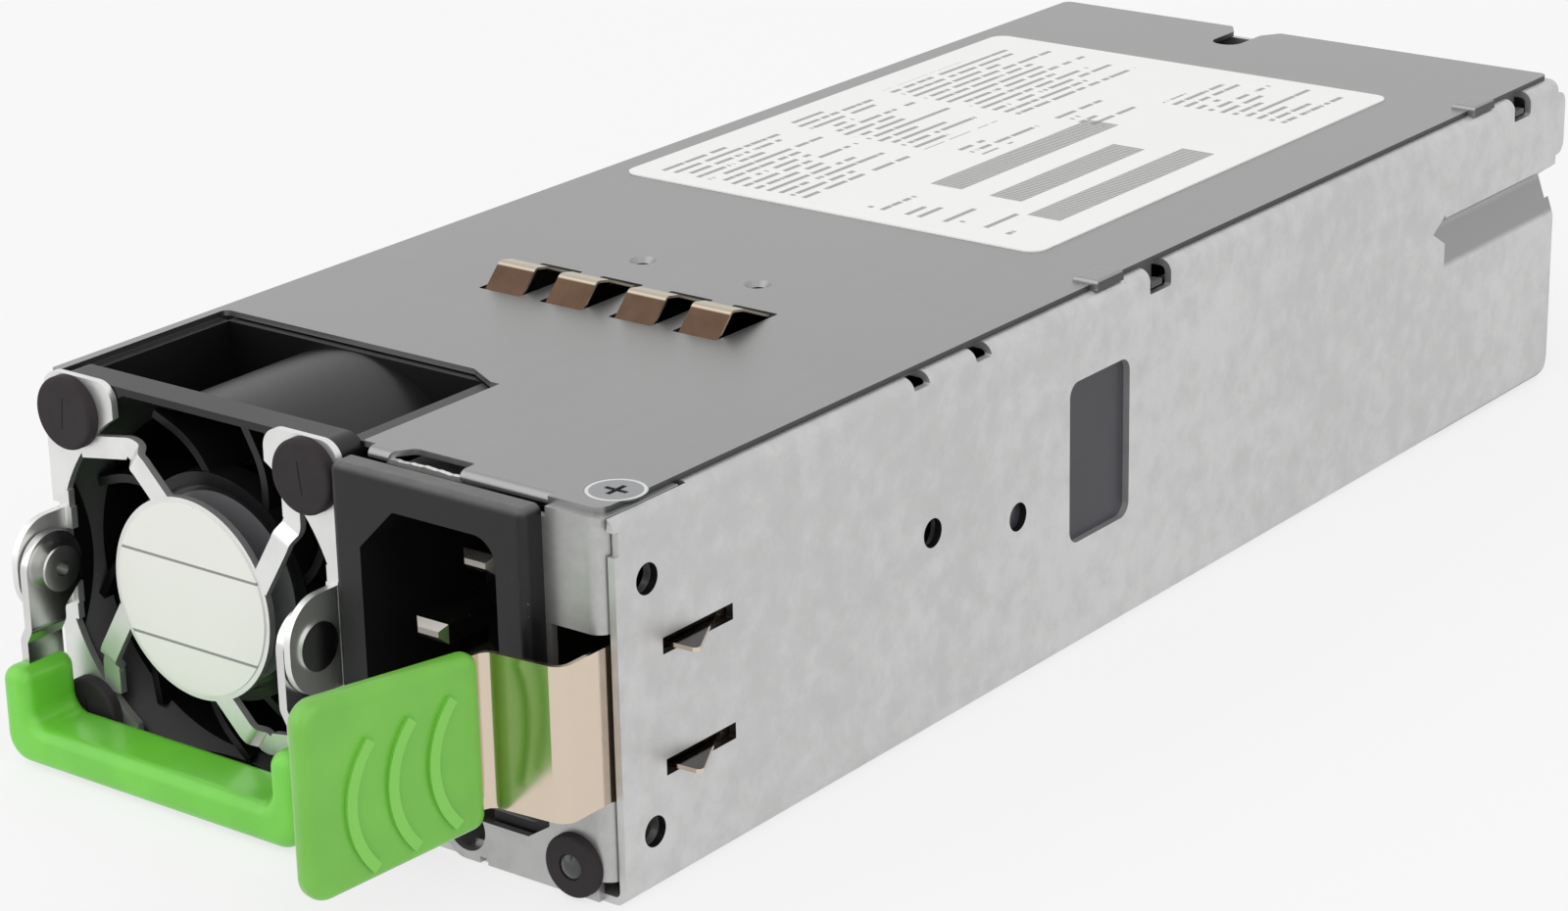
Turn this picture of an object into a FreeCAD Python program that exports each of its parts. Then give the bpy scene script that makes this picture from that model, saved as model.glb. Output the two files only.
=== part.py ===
import FreeCAD, Part
import math
import os

# Hot swap server power supply: a slim sheet-metal case with a 40 mm class fan, a turned mains
# inlet, a folding pull handle and a sprung side latch on its front, and a blade connector on its
# rear wall. Millimetres. Origin: middle of the case's bottom face, in the plane of the side
# walls' front edges. +X right as seen from the front, +Y to the rear, +Z up.

V = FreeCAD.Vector

# ------------------------------------------------------------------ driving dimensions
case_width = 73.5
case_length = 185.0
case_height = 39.5
case_sheet = 0.8            # side walls, bottom and rear wall
cover_sheet = 0.6
bend_radius = 1.0           # mean radius of the case's bends
top_flange_width = 6.0      # inward flange at the top of each side wall
touch_gap = 0.3             # between pieces that lie side by side without touching

fan_case_gap = 0.05         # fan frame to the case, below and above
fan_depth = 28.0
fan_front = -0.4            # front face of the fan frame
fan_edge_to_hole = 3.4      # side of the frame to the mounting holes' centres
fan_bore_wall = 1.5         # side of the frame to the bore
fan_mouth_flare = 3.0       # the flared mouth is cut off by the frame's flat sides
fan_rim = 0.8               # least wall left round the mouth
fan_flange = 3.6
fan_rear_flange = 5.0
fan_rear_drop = 0.7         # the rear flange is lower than the front one, to pass under the cover
fan_barrel_wall = 0.7
fan_corner = 2.2
fan_panel = 2.0             # side panels that join the two flanges
fan_mount_hole_radius = 2.1
vane_count = 9
vane_sheet = 0.9
vane_depth = 6.0
vane_sweep = 22.0           # degrees between a vane's root and its outer end
vane_start = 54.0
vane_bend = 9.0
hub_share = 0.305           # hub radius as a share of the fan's size
stator_hub_front = 1.8
stator_hub_depth = 3.0
sticker_edge = 1.2
sticker_recess = 0.3
bearing_tube_radius = 3.4
bearing_radius = 2.6
shaft_radius = 1.5
shaft_clearance = 0.04
rotor_front = 9.2
rotor_depth = 16.5
rotor_wall = 1.5
blade_count = 7
blade_tip_gap = 0.55
blade_thickness = 1.1
blade_lean_root = 48.0      # degrees between a blade's chord and the fan's axis
blade_lean_tip = 62.0
coil_gap = 1.5              # wound core to the inside of the rotor's cup
coil_depth = 7.0
coil_slots = 4
coil_slot_width = 1.6
coil_slot_depth = 3.0

guard_sheet = 0.8
guard_overhang = 0.5        # the guard is wider than the fan by this much on each side
guard_opening_edge = 0.2
guard_rise = 0.4            # corner tabs stand just above the case
guard_bottom = 0.1
guard_tab_width = 9.8
guard_tab_corner = 2.2
guard_bend = 0.7
disc_share = 0.27           # disc radius as a share of the fan's size
disc_forward = 1.0          # the arms are cranked forward by this much
guard_arm_width = 2.3
guard_arm_bend = 1.2
guard_step_bend = 0.6
arm_upper_left = ((-0.294, 0.338), (-0.203, 0.353), (-0.157, 0.320), (-0.066, 0.228))   # fan's sizes
arm_upper_right = ((0.345, 0.345), (0.345, 0.269), (0.320, 0.218), (0.239, 0.086))
label_sheet = 0.15
disc_label_edge = 0.6
rivet_head_radius = 3.85
rivet_head_height = 1.3
rivet_shank_radius = 1.9
rivet_shank_length = 6.5

ear_inset = 0.95            # guard's side edge to the ear's outer face
ear_reach = 3.8             # the ear's reach in front of the pivot
ear_half_height = 5.2
ear_corner = 4.5
ear_root = 1.8              # plate beside the ear, above and below it
pivot_forward = 4.5         # pivot axis in front of the case's front plane
pivot_rise = 0.4            # pivot axis above the fan's axis
bail_sheet = 1.0
bail_disc_radius = 3.7
bail_arm_width = 4.7
bail_joggle = 0.8
bail_bend = 0.9
ear_gap = 0.2               # running gap between an ear and the bail's arm
pivot_radius = 1.3
pivot_clearance = 0.06
pivot_head_radius = 2.5
pivot_head_height = 0.3
grip_overhang = 0.3         # the grip is wider than the guard by this much on each side
grip_post_width = 3.7
grip_front = -10.3
grip_rear = -2.9
grip_bottom = 0.3
grip_bar_height = 4.2
grip_height = 10.3
grip_edge_round = 1.4
grip_outer_corner = 3.0
grip_inner_corner = 1.8
grip_top_corner = 1.7

plate_front = -0.8          # front face of the front plate
plate_sheet = 0.8
plate_side_length = 8.0     # the plate's side flanges lie inside the right wall
plate_bend = 1.4
plate_from_right = 21.6     # lower left corner of the plate, from the case's right side
plate_hole_from_right = 19.1
plate_hole_height = 3.5
plate_hole_radius = 2.4
plate_low_edge = 4.7        # top edge of the plate below the inlet
plate_rise_from_right = 11.2  # from here the edge rises towards the side flange
plate_rise_slope = 0.64
plate_top_gap = 1.0         # plate's top edge to the cover
latch_window_bottom = 10.6
latch_window_top = 27.4
latch_window_width = 7.2    # from the case's right side
plate_foot_length = 9.0
led_from_right = 5.3
led_height = 3.5
led_radius = 1.35
grommet_radius = 3.2
grommet_head = 1.0
grommet_neck_radius = 2.3

bezel_fan_gap = 1.2
bezel_from_right = 7.85
bezel_bottom = 7.65
bezel_top_gap = 0.5         # to the case's top
bezel_thickness = 2.6
bezel_round = 0.9
inlet_body_rim = (2.8, 1.95)  # bezel edge to the body's side, across and up
inlet_body_depth = 20.0
socket_rim = (3.6, 3.5)     # bezel edge to the socket's side, across and up
socket_chamfer = 4.4
socket_round = 2.6
socket_depth = 17.4
pin_width = 4.0
pin_thickness = 2.0
pin_spacing = 14.0
pin_offset = 2.0            # live pins to one side of the middle, earth pin to the other
live_pin_front = 1.0
earth_pin_front = -1.6
pin_tail = 6.0
pin_bevel = 0.7
skirt_bottom = 3.2          # thin wall under the body, behind the plate
skirt_width = 8.0
skirt_sheet = 0.8

slot_front = 6.5            # latch slots in the right wall
slot_length = 10.5
slot_width = 1.65
tooth_heights = (24.3, 12.0)
tooth_reach = 3.5
tooth_sheet = 0.45
latch_sheet = 0.45
latch_wall_gap = 0.35
latch_bottom = 10.7
latch_top = 26.3
latch_front = -6.4
latch_front_slope = 0.7     # the front stretch runs this much further forward at its inner end
latch_bend = 1.4
latch_root = 47.0           # the latch bends about this line
latch_foot_front = 6.0      # the riveted foot's reach in front of that line and behind it
latch_foot_rear = 1.7
latch_running_gap = 0.25    # between the foot and its bracket and rivet heads
latch_foot_step = 1.1
latch_rivet_pitch = 9.0
latch_rivet_radius = 1.0
bracket_front = 4.0         # the bracket's reach in front of the rivets and behind them
bracket_rear = 8.0
latch_fold_from_right = 9.85
tab_angle = 11.0            # the tab leans towards the inlet
tab_length = 20.2
tab_thickness = 2.6
tab_bottom = 9.4
tab_top = 26.8
tab_flare = (0.7, 1.8)      # the free end is this much higher above and lower below
tab_corner = 2.4            # at the free end
tab_root_corner = 1.5
tab_round = 1.1
tab_rib_height = 0.45
tab_rib_radius = 9.2
tab_rib_width = 1.1
tab_rib_angle = 43.0
tab_rib_middle = 10.75      # middle rib to the tab's root
tab_rib_drop = 1.5          # below the middle of the tab's root
tab_rib_pitch = (4.65, 0.6) # along the tab and downwards

corner_notch = (2.0, 2.4, 0.7)   # front notch in the right wall: drop from the top, height, depth
side_hole_radius = 1.55
side_holes = ((4.5, 31.7), (4.5, 6.2), (49.7, 21.7), (65.0, 18.6))   # distance to the front, height
window_front = 74.7
window_length = 11.6
window_bottom = 12.2
window_top_gap = 9.2        # to the case's top
window_round = 1.6
hook_front = 90.2           # front hook hole
hook_rear_gap = 11.6        # rear hook hole to the case's rear
hook_hole_length = 4.2
hook_hole_depth = 3.4       # from the case's top
hook_tab_depth = 2.2
lug_length = 5.0
lug_lift = 0.55
flange_bites = (46.8, 57.6)
bite_length = 2.7
bead_length = 28.5          # heights of the bead and the lobe are measured down from the case's top
bead_bottom_drop = 18.1
bead_deepest_drop = 12.8
bead_top_drop = 11.4
bead_depth = 1.8
bead_ramp = 3.0
lobe_bottom_drop = 10.3
lobe_top_drop = 2.3
lobe_reach = 2.0
rear_corner_radius = 3.0

cutout_left = 1.5
cutout_fan_gap = 1.05       # fan cut-out's right side to the fan
cutout_rear_gap = 4.0       # fan cut-out's rear edge to the fan's rear face
cutout_chamfer = (5.2, 2.1)
lip_edge = 1.5              # the cover's front lip ends this far inside the bezel's left side
lip_front = 0.6             # front face of the lip
lip_drop = 0.95
lip_bend = 0.5
lip_opening = (4.1, 13.1, 2.9)   # start and end from the bezel's left side, and rear edge
screw_from_right = 3.7
screw_from_front = 5.0
screw_head_radius = 3.0
screw_radius = 1.5
countersink = 1.3
finger_width = 5.1
finger_slot_width = 5.7
finger_slot = (44.0, 54.5)
finger_slots_left = (18.7, 27.1, 36.5, 45.0)
finger_rise = 2.3
spring_sheet = 0.25
dimple_places = ((27.1, 61.3), (42.7, 61.4))
dimple_radius = 1.5
label_left = 3.4            # from the case's left side
label_right = 12.2          # from the case's right side
label_front = 86.6
label_rear = 20.9           # from the case's rear
label_round = 2.0
rear_notch_left = 30.0
rear_notch_width = 4.0
rear_notch_depth = 9.0
rear_notch_flare = (1.6, 2.4)
cover_edge = 1.5            # the cover stops this far inside the right wall's outer face
cover_left_edge = 0.35

rear_wall_inset = 1.0
vent_size = 3.4             # across flats of the hexagonal vents
vent_pitch = 4.5
vent_margin = 4.2           # top row to the side walls' flanges
insulator_gap = 3.0         # inner sheet to its neighbours
connector_left = 14.0
connector_from_right = 9.5
connector_height = 9.6
connector_depth = 14.0
power_blade_count = 6
power_blade_pitch = 5.0
power_blade_sheet = 1.2
signal_columns = 8
signal_pitch = 1.8
guide_pin_radius = 1.2
guide_pin_base_radius = 1.5
guide_pin_shoulder = 0.2    # the thicker base ends this far behind the side walls
guide_pin_from_right = 3.3
guide_pin_height = 7.3
guide_pin_tail = 6.0
guide_pin_reach = 4.0

board_sheet = 1.6
board_height = 3.2          # standoffs under the board
board_left = 2.6
board_from_right = 3.9
board_front = 31.0
board_rear_gap = 2.0
board_round = 1.0
standoff_radius = 2.4
board_screw_radius = 1.4
board_screw_head = (2.6, 1.6)
inner_clearance = 0.5       # tallest component to the cover's flanges

# Components on the board: left, right, front and rear as shares of the board's width and length
# and height as a share of the space above it.
filter_capacitor_place = (0.590, 0.735, 0.033, 0.126, 0.50)
relay_place = (0.320, 0.528, 0.060, 0.140, 0.47)
fuse_place = (0.938, 0.985, 0.233, 0.366, 0.19)
control_board_place = (0.080, 0.104, 0.087, 0.246, 0.75)
transformer_place = (0.528, 0.887, 0.579, 0.752, 0.78)
primary_sink_place = (0.528, 0.917, 0.313, 0.539, 0.81)
output_sink_place = (0.125, 0.469, 0.766, 0.899, 0.75)
fan_plug_place = (0.454, 0.566, 0.020, 0.053, 0.19)
bulk_capacitor_place = (0.036, 0.409, 0.433, 0.726, 0.78)
output_capacitor_row = (0.513, 0.931, 0.862, 0.44)
output_capacitor_count = 5
filter_choke_place = (0.767, 0.193, 0.134)
boost_choke_place = (0.290, 0.313, 0.179)
board_screw_shares = ((0.060, 0.940), (0.033, 0.800))

# ------------------------------------------------------------------ derived places
left = -case_width / 2
right = case_width / 2
flange_top = case_height - cover_sheet
wall_inside = right - case_sheet
fan_size = case_height - 2 * fan_case_gap
fan_half = fan_size / 2
fan_bore_radius = fan_half - fan_bore_wall
fan_mouth_radius = fan_bore_radius + fan_mouth_flare
fan_barrel_radius = fan_bore_radius + fan_barrel_wall
fan_hole_pitch = fan_size - 2 * fan_edge_to_hole
hub_radius = hub_share * fan_size
sticker_radius = hub_radius - sticker_edge
fan_x = left + case_sheet + fan_case_gap + fan_half
fan_z = case_height / 2
fan_rear = fan_front + fan_depth
guard_half_width = fan_half + guard_overhang
guard_opening_radius = fan_half - guard_opening_edge
guard_top = case_height + guard_rise
guard_back = fan_front - 0.1
guard_front = guard_back - guard_sheet
rivet_rear = guard_front + rivet_shank_length
disc_radius = disc_share * fan_size
disc_front = guard_front - disc_forward
grip_half_width = guard_half_width + grip_overhang
pivot_y = -pivot_forward
pivot_z = fan_z + pivot_rise
ear_face = guard_half_width - ear_inset
plate_back = plate_front + plate_sheet
plate_left = right - plate_from_right
window_left = right - latch_window_width
bezel_left = fan_x + fan_half + bezel_fan_gap
bezel_right = right - bezel_from_right
bezel_top = case_height - bezel_top_gap
inlet_x = (bezel_left + bezel_right) / 2
inlet_z = (bezel_bottom + bezel_top) / 2
cutout_right = fan_x + fan_half + cutout_fan_gap
cutout_rear = fan_rear - cutout_rear_gap
led_x = right - led_from_right
screw_x = right - screw_from_right
lip_left = bezel_left + lip_edge
bead_start = case_length - bead_length
hook_places = (hook_front, case_length - hook_rear_gap)
rear_wall = case_length - rear_wall_inset - case_sheet
connector_width = case_width - connector_left - connector_from_right
guide_pin_x = right - guide_pin_from_right
board_left_x = left + board_left
board_width = case_width - board_left - board_from_right
board_rear = rear_wall - board_rear_gap
board_top = case_sheet + board_height + board_sheet
inner_height = flange_top - case_sheet - inner_clearance - board_top


# ------------------------------------------------------------------ construction helpers
def box(x0, x1, y0, y1, z0, z1):
    """Block between two corners."""
    return Part.makeBox(x1 - x0, y1 - y0, z1 - z0, V(x0, y0, z0))


def rod(radius, start, end):
    """Round bar between two points."""
    start, end = V(*start), V(*end)
    return Part.makeCylinder(radius, (end - start).Length, start, end - start)


def fused(shapes):
    """One solid from pieces that meet."""
    shapes = list(shapes)
    return shapes[0].multiFuse(shapes[1:]).removeSplitter() if len(shapes) > 1 else shapes[0]


def rounded_outline(points, radii):
    """Closed outline through 2D points, with a tangent arc of the given radius at each."""
    count = len(points)
    radii = radii if isinstance(radii, (list, tuple)) else [radii] * count
    spans = []
    for i, radius in enumerate(radii):
        here = V(*points[i], 0)
        before = (V(*points[i - 1], 0) - here).normalize()
        after = (V(*points[(i + 1) % count], 0) - here).normalize()
        half = before.getAngle(after) / 2
        if radius <= 0 or half > math.pi / 2 - 1e-4:
            spans.append((here, None, here))
            continue
        reach = radius / math.tan(half)
        middle = (before + after).normalize() * (radius / math.sin(half) - radius)
        spans.append((here + before * reach, here + middle, here + after * reach))
    edges = []
    for i, (start, middle, end) in enumerate(spans):
        if middle is not None:
            edges.append(Part.Arc(start, middle, end).toShape())
        following = spans[(i + 1) % count][0]
        if (following - end).Length > 1e-6:
            edges.append(Part.makeLine(end, following))
    return Part.Wire(edges)


def front_sheet(outline, y0, y1):
    """Solid from an (x, z) outline, between two depths."""
    face = Part.Face(outline)
    face.rotate(V(0, 0, 0), V(1, 0, 0), 90)
    face.translate(V(0, y1, 0))
    return face.extrude(V(0, y0 - y1, 0))


def top_sheet(outline, z0, z1):
    """Solid from an (x, y) outline, between two heights."""
    face = Part.Face(outline)
    face.translate(V(0, 0, z0))
    return face.extrude(V(0, 0, z1 - z0))


def side_sheet(outline, x0, x1):
    """Solid from a (y, z) outline, between two X positions."""
    face = Part.Face(outline)
    face.rotate(V(0, 0, 0), V(1, 1, 1), 120)
    face.translate(V(x0, 0, 0))
    return face.extrude(V(x1 - x0, 0, 0))


def rectangle(u0, u1, v0, v1, radius=0):
    """Rectangle outline with rounded corners."""
    return rounded_outline([(u0, v0), (u1, v0), (u1, v1), (u0, v1)], radius)


def ribbon(points, radius, thickness):
    """Outline of a bent strip: its middle line goes through 2D points, with mean bend radius."""
    path = [V(*point, 0) for point in points]
    along = [(b - a).normalize() for a, b in zip(path, path[1:])]
    sides = {1: [], -1: []}
    bends = {1: [], -1: []}
    for side in (1, -1):
        for i, point in enumerate(path):
            into, out = along[max(i - 1, 0)], along[min(i, len(along) - 1)]
            mean = (into + out).normalize()
            normal = V(-mean.y, mean.x, 0)
            shift = side * thickness / 2 / mean.dot(into)
            sides[side].append(point + normal * shift)
            turn = into.x * out.y - into.y * out.x
            inner = turn * side > 0
            bend = 0 if abs(turn) < 1e-6 else radius + (-1 if inner else 1) * thickness / 2
            bends[side].append(bend)
    outline = sides[1] + sides[-1][::-1]
    return rounded_outline([(p.x, p.y) for p in outline], bends[1] + bends[-1][::-1])


def hexagon(u, v, size):
    """Hexagon outline, size across flats."""
    radius = size / math.sqrt(3)
    corners = [math.radians(60 * k + 30) for k in range(6)]
    return rounded_outline([(u + radius * math.cos(a), v + radius * math.sin(a)) for a in corners], 0)


def filleted(solid, radius, chosen):
    """Solid with a fillet on each edge that the test picks."""
    return solid.makeFillet(radius, [edge for edge in solid.Edges if chosen(edge)])


def mirrored(solid, x):
    """Copy on the other side of the plane at x."""
    return solid.mirror(V(x, 0, 0), V(1, 0, 0))


# ------------------------------------------------------------------ case
def wall_bead(outer):
    """Groove pressed into the right wall: the space in it, or with its sheet on the inside."""
    grow = 0 if outer else case_sheet
    skin = 1.0
    lowest = case_height - bead_bottom_drop - grow
    deepest = case_height - bead_deepest_drop
    highest = case_height - bead_top_drop + grow
    points = [
        (right + skin, lowest),
        (right, lowest),
        (right - bead_depth - grow, deepest),
        (right, highest),
        (right + skin, highest),
    ]
    groove = front_sheet(rounded_outline(points, 0), bead_start, case_length + 5)
    nose = Part.makeCone(bead_depth + grow, 0, bead_ramp, V(right, bead_start, deepest), V(0, -1, 0))
    return groove.fuse(nose)


def right_wall_cuts():
    """Every hole in the right wall."""
    cuts = [rod(side_hole_radius, (wall_inside - 1, y, z), (right + 1, y, z)) for y, z in side_holes]
    for z in tooth_heights:
        slot = rectangle(slot_front, slot_front + slot_length, z - slot_width / 2, z + slot_width / 2, 0.2)
        cuts.append(side_sheet(slot, wall_inside - 1, right + 1))
    window = rectangle(window_front, window_front + window_length, window_bottom,
                       case_height - window_top_gap, window_round)
    cuts.append(side_sheet(window, wall_inside - 1, right + 1))
    notch_top = case_height - corner_notch[0]
    cuts.append(box(wall_inside - 1, right + 1, -1, corner_notch[2], notch_top - corner_notch[1], notch_top))
    return cuts


def edge_cuts(side):
    """Hook holes and bend reliefs along a side wall's top edge; side is 1 or -1."""
    inner, outer = sorted((side * (right - 2.6), side * (right + 1)))
    cuts = []
    for y in hook_places:
        hole = rectangle(y, y + hook_hole_length, case_height - hook_hole_depth, case_height, 0.3)
        cuts.append(side_sheet(hole, inner, outer))
    for y in flange_bites:
        bite = rectangle(y, y + bite_length, flange_top - 1.3, case_height, 0.25)
        cuts.append(side_sheet(bite, inner, outer))
    return cuts


def vents():
    """Staggered hexagonal vents through the rear wall, as many as fit above the connector."""
    row_pitch = vent_pitch * math.sqrt(3) / 2
    lowest = board_top + connector_height + vent_size / 2
    highest = flange_top - vent_margin
    rows = int((highest - lowest) / row_pitch)
    across = int((case_width - 2 * top_flange_width) / vent_pitch)
    holes = []
    for row in range(rows):
        z = highest - vent_size / 2 - row * row_pitch
        for k in range(across - row % 2):
            x = (k - (across - row % 2 - 1) / 2) * vent_pitch
            holes.append(front_sheet(hexagon(x, z, vent_size), rear_wall - 1, case_length + 3))
    return holes


def chassis():
    """Folded channel with inward top flanges, a vented rear wall and the right wall's features."""
    half = case_sheet / 2
    path = [
        (left + top_flange_width, flange_top - half),
        (left + half, flange_top - half),
        (left + half, half),
        (right - half, half),
        (right - half, flange_top - half),
        (right - top_flange_width, flange_top - half),
    ]
    body = front_sheet(ribbon(path, bend_radius, case_sheet), 0, case_length)
    rear = box(left + half, right - half, rear_wall, rear_wall + case_sheet, half, flange_top - half)
    lobe = rectangle(case_length - 8, case_length + lobe_reach, case_height - lobe_bottom_drop,
                     case_height - lobe_top_drop, 1.6)
    body = fused([body, rear, side_sheet(lobe, wall_inside, right)])
    inner_half = box(0, right, bead_start - bead_ramp - 1, rear_wall + 0.1, 0, case_height)
    body = body.fuse(wall_bead(False).common(inner_half))
    cuts = right_wall_cuts() + edge_cuts(1) + edge_cuts(-1) + vents()
    cuts.append(wall_bead(True))
    fan_bay_rear = fan_rear + touch_gap
    for z0, z1 in ((-1, case_sheet + bend_radius), (flange_top - case_sheet - bend_radius, case_height)):
        cuts.append(box(left + case_sheet, cutout_right, -1, fan_bay_rear, z0, z1))
    flange_start = plate_back + 11.5
    cuts.append(box(right - top_flange_width - 1, wall_inside, -1, flange_start,
                    flange_top - case_sheet - bend_radius, case_height))
    opening_left = left + connector_left - touch_gap
    opening_right = left + connector_left + connector_width + touch_gap
    opening_top = board_top + connector_height + touch_gap
    opening_bottom = case_sheet + board_height - touch_gap
    cuts.append(box(opening_left, opening_right, rear_wall - 1, case_length, opening_bottom, opening_top))
    x, z = guide_pin_x, guide_pin_height
    cuts.append(rod(guide_pin_base_radius + 0.05, (x, rear_wall - 1, z), (x, case_length, z)))
    corner = box(left - 1, right + 1, case_length - rear_corner_radius, case_length + 1, -1, rear_corner_radius)
    rounding = rod(rear_corner_radius, (left - 1, case_length - rear_corner_radius, rear_corner_radius),
                   (right + 1, case_length - rear_corner_radius, rear_corner_radius))
    corner = corner.cut(rounding).cut(box(left + case_sheet, wall_inside, rear_wall, rear_wall + case_sheet, 0, 9))
    cuts.append(corner)
    return body.cut(Part.makeCompound(cuts)).removeSplitter()


def cover_outline():
    """Plan of the cover: fan cut-out with a chamfered corner, open to the front, and the rear notch."""
    edge_left = left + cover_left_edge
    edge_right = right - cover_edge
    notch_left = left + rear_notch_left - rear_notch_width / 2
    notch_right = notch_left + rear_notch_width
    flare_x, flare_y = rear_notch_flare
    rear = case_length - 0.2
    lip_rear = lip_front + 1.2
    chamfer_x, chamfer_y = cutout_chamfer
    points = [
        (edge_left, 0),
        (left + cutout_left, 0),
        (left + cutout_left, cutout_rear),
        (cutout_right - chamfer_x, cutout_rear),
        (cutout_right - 1.2, cutout_rear - chamfer_y),
        (cutout_right, cutout_rear - chamfer_y),
        (cutout_right, lip_rear),
        (bezel_right, lip_rear),
        (bezel_right, 0.2),
        (edge_right, 0.2),
        (edge_right, rear),
        (notch_right + flare_x, rear),
        (notch_right, rear - flare_y),
        (notch_right, rear - rear_notch_depth),
        (notch_left, rear - rear_notch_depth),
        (notch_left, rear - flare_y),
        (notch_left - flare_x, rear),
        (edge_left, rear),
    ]
    radii = [0.3, 0.3, 0.8, 0, 0, 0, 0.3, 0, 0, 1.5, 1.0, 0.6, 0.6, 1.9, 1.9, 0.6, 0.6, 1.0]
    return rounded_outline(points, radii)


def cover_hooks():
    """Tabs bent down from the cover's edges into the side walls' hook holes."""
    tabs = []
    for y in hook_places:
        front, rear = y + 0.4, y + hook_hole_length * 0.6
        tab = box(right - cover_edge - cover_sheet, right - cover_edge, front, rear,
                  flange_top - hook_tab_depth, case_height)
        foot = box(right - cover_edge - 0.1, right - 0.1, front, rear, flange_top - hook_tab_depth,
                   flange_top - hook_tab_depth + cover_sheet)
        tabs.extend([tab, foot, mirrored(tab, 0), mirrored(foot, 0)])
    return tabs


def cover_lugs():
    """Raised lugs on the cover's right edge, just in front of each hook hole."""
    lugs = []
    for y in hook_places:
        centre = y - 7.0
        edge = right - cover_edge
        lug = box(edge - 2.2, edge + 1.0, centre - lug_length / 2, centre + lug_length / 2,
                  case_height - cover_sheet + 0.02, case_height + lug_lift)
        rim = [e for e in lug.Edges if e.BoundBox.ZMin > case_height]
        lugs.append(lug.makeFillet(lug_lift * 0.8, rim))
    return lugs


def top_cover():
    """Flat cover with a front lip over the inlet, slots for the spring fingers and dished holes."""
    sheet = top_sheet(cover_outline(), flange_top, case_height)
    half = cover_sheet / 2
    lip_path = [(lip_front + 2, case_height - half), (lip_front + half, case_height - half),
                (lip_front + half, case_height - lip_drop)]
    lip = side_sheet(ribbon(lip_path, lip_bend, cover_sheet), lip_left, bezel_right)
    y = screw_from_front
    dish = Part.makeCone(screw_head_radius + 0.05, screw_radius + 0.1, countersink, V(screw_x, y, case_height),
                         V(0, 0, -1))
    cuts = [dish]
    for start in finger_slots_left:
        slot = rectangle(left + start, left + start + finger_slot_width, *finger_slot, 0.3)
        cuts.append(top_sheet(slot, flange_top - 1, case_height + 1))
    first, last, depth = lip_opening
    first, last = bezel_left + first, bezel_left + last
    points = [(first, -3), (last, -3), (last, depth), (first + 1.6, depth), (first, depth - 2.2)]
    cuts.append(top_sheet(rounded_outline(points, [0, 0, 0.4, 0.8, 0.8]), case_height - 1.2, case_height + 1))
    for x, y in dimple_places:
        cuts.append(Part.makeCone(dimple_radius, dimple_radius * 0.6, cover_sheet * 1.01,
                                  V(left + x, y, case_height), V(0, 0, -1)))
    body = fused([sheet, lip] + cover_hooks() + cover_lugs())
    return body.cut(Part.makeCompound(cuts))


def cover_screw():
    """Countersunk screw with a cross recess, through the cover into the front plate's flange."""
    x, y = screw_x, screw_from_front
    top = case_height - 0.03
    slope = countersink - 0.1
    head = Part.makeCone(screw_head_radius, screw_radius, slope, V(x, y, top), V(0, 0, -1))
    shank = rod(screw_radius, (x, y, top - slope - 3.4), (x, y, top - slope))
    cross = [box(x - 1.3, x + 1.3, y - 0.28, y + 0.28, top - 0.8, top + 1),
             box(x - 0.28, x + 0.28, y - 1.3, y + 1.3, top - 0.8, top + 1)]
    return fused([head, shank]).cut(Part.makeCompound(cross))


def rating_label():
    """Thin label on the cover."""
    outline = rectangle(left + label_left, right - label_right, label_front, case_length - label_rear,
                        label_round)
    return top_sheet(outline, case_height, case_height + label_sheet)


# ------------------------------------------------------------------ front plate, light and screw seat
def plate_corner(bottom, top):
    """Part of the front plate that turns into a flange inside the right wall."""
    half = plate_sheet / 2
    x = wall_inside - 0.1 - half
    path = [(window_left - 3, plate_front + half), (x, plate_front + half), (x, plate_side_length)]
    return top_sheet(ribbon(path, plate_bend, plate_sheet), bottom, top)


def plate_gap():
    """Open space between the plate's lower edge, which rises towards the side flange, and the inlet."""
    start = right - plate_rise_from_right
    end = window_left - 1.3
    flange = wall_inside - 1.4
    top = bezel_bottom + 0.3
    rise = (end - start) * plate_rise_slope
    below = [(plate_left - 1, plate_low_edge), (start, plate_low_edge), (end, plate_low_edge + rise),
             (end, top), (plate_left - 1, top)]
    corner = [(window_left, plate_low_edge + (window_left - start) * plate_rise_slope),
              (flange, latch_window_bottom - 0.3), (flange, latch_window_bottom + 1),
              (window_left, latch_window_bottom + 1)]
    return [front_sheet(rounded_outline(outline, 0), plate_front - 1, plate_back + 0.1)
            for outline in (below, corner)]


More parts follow.
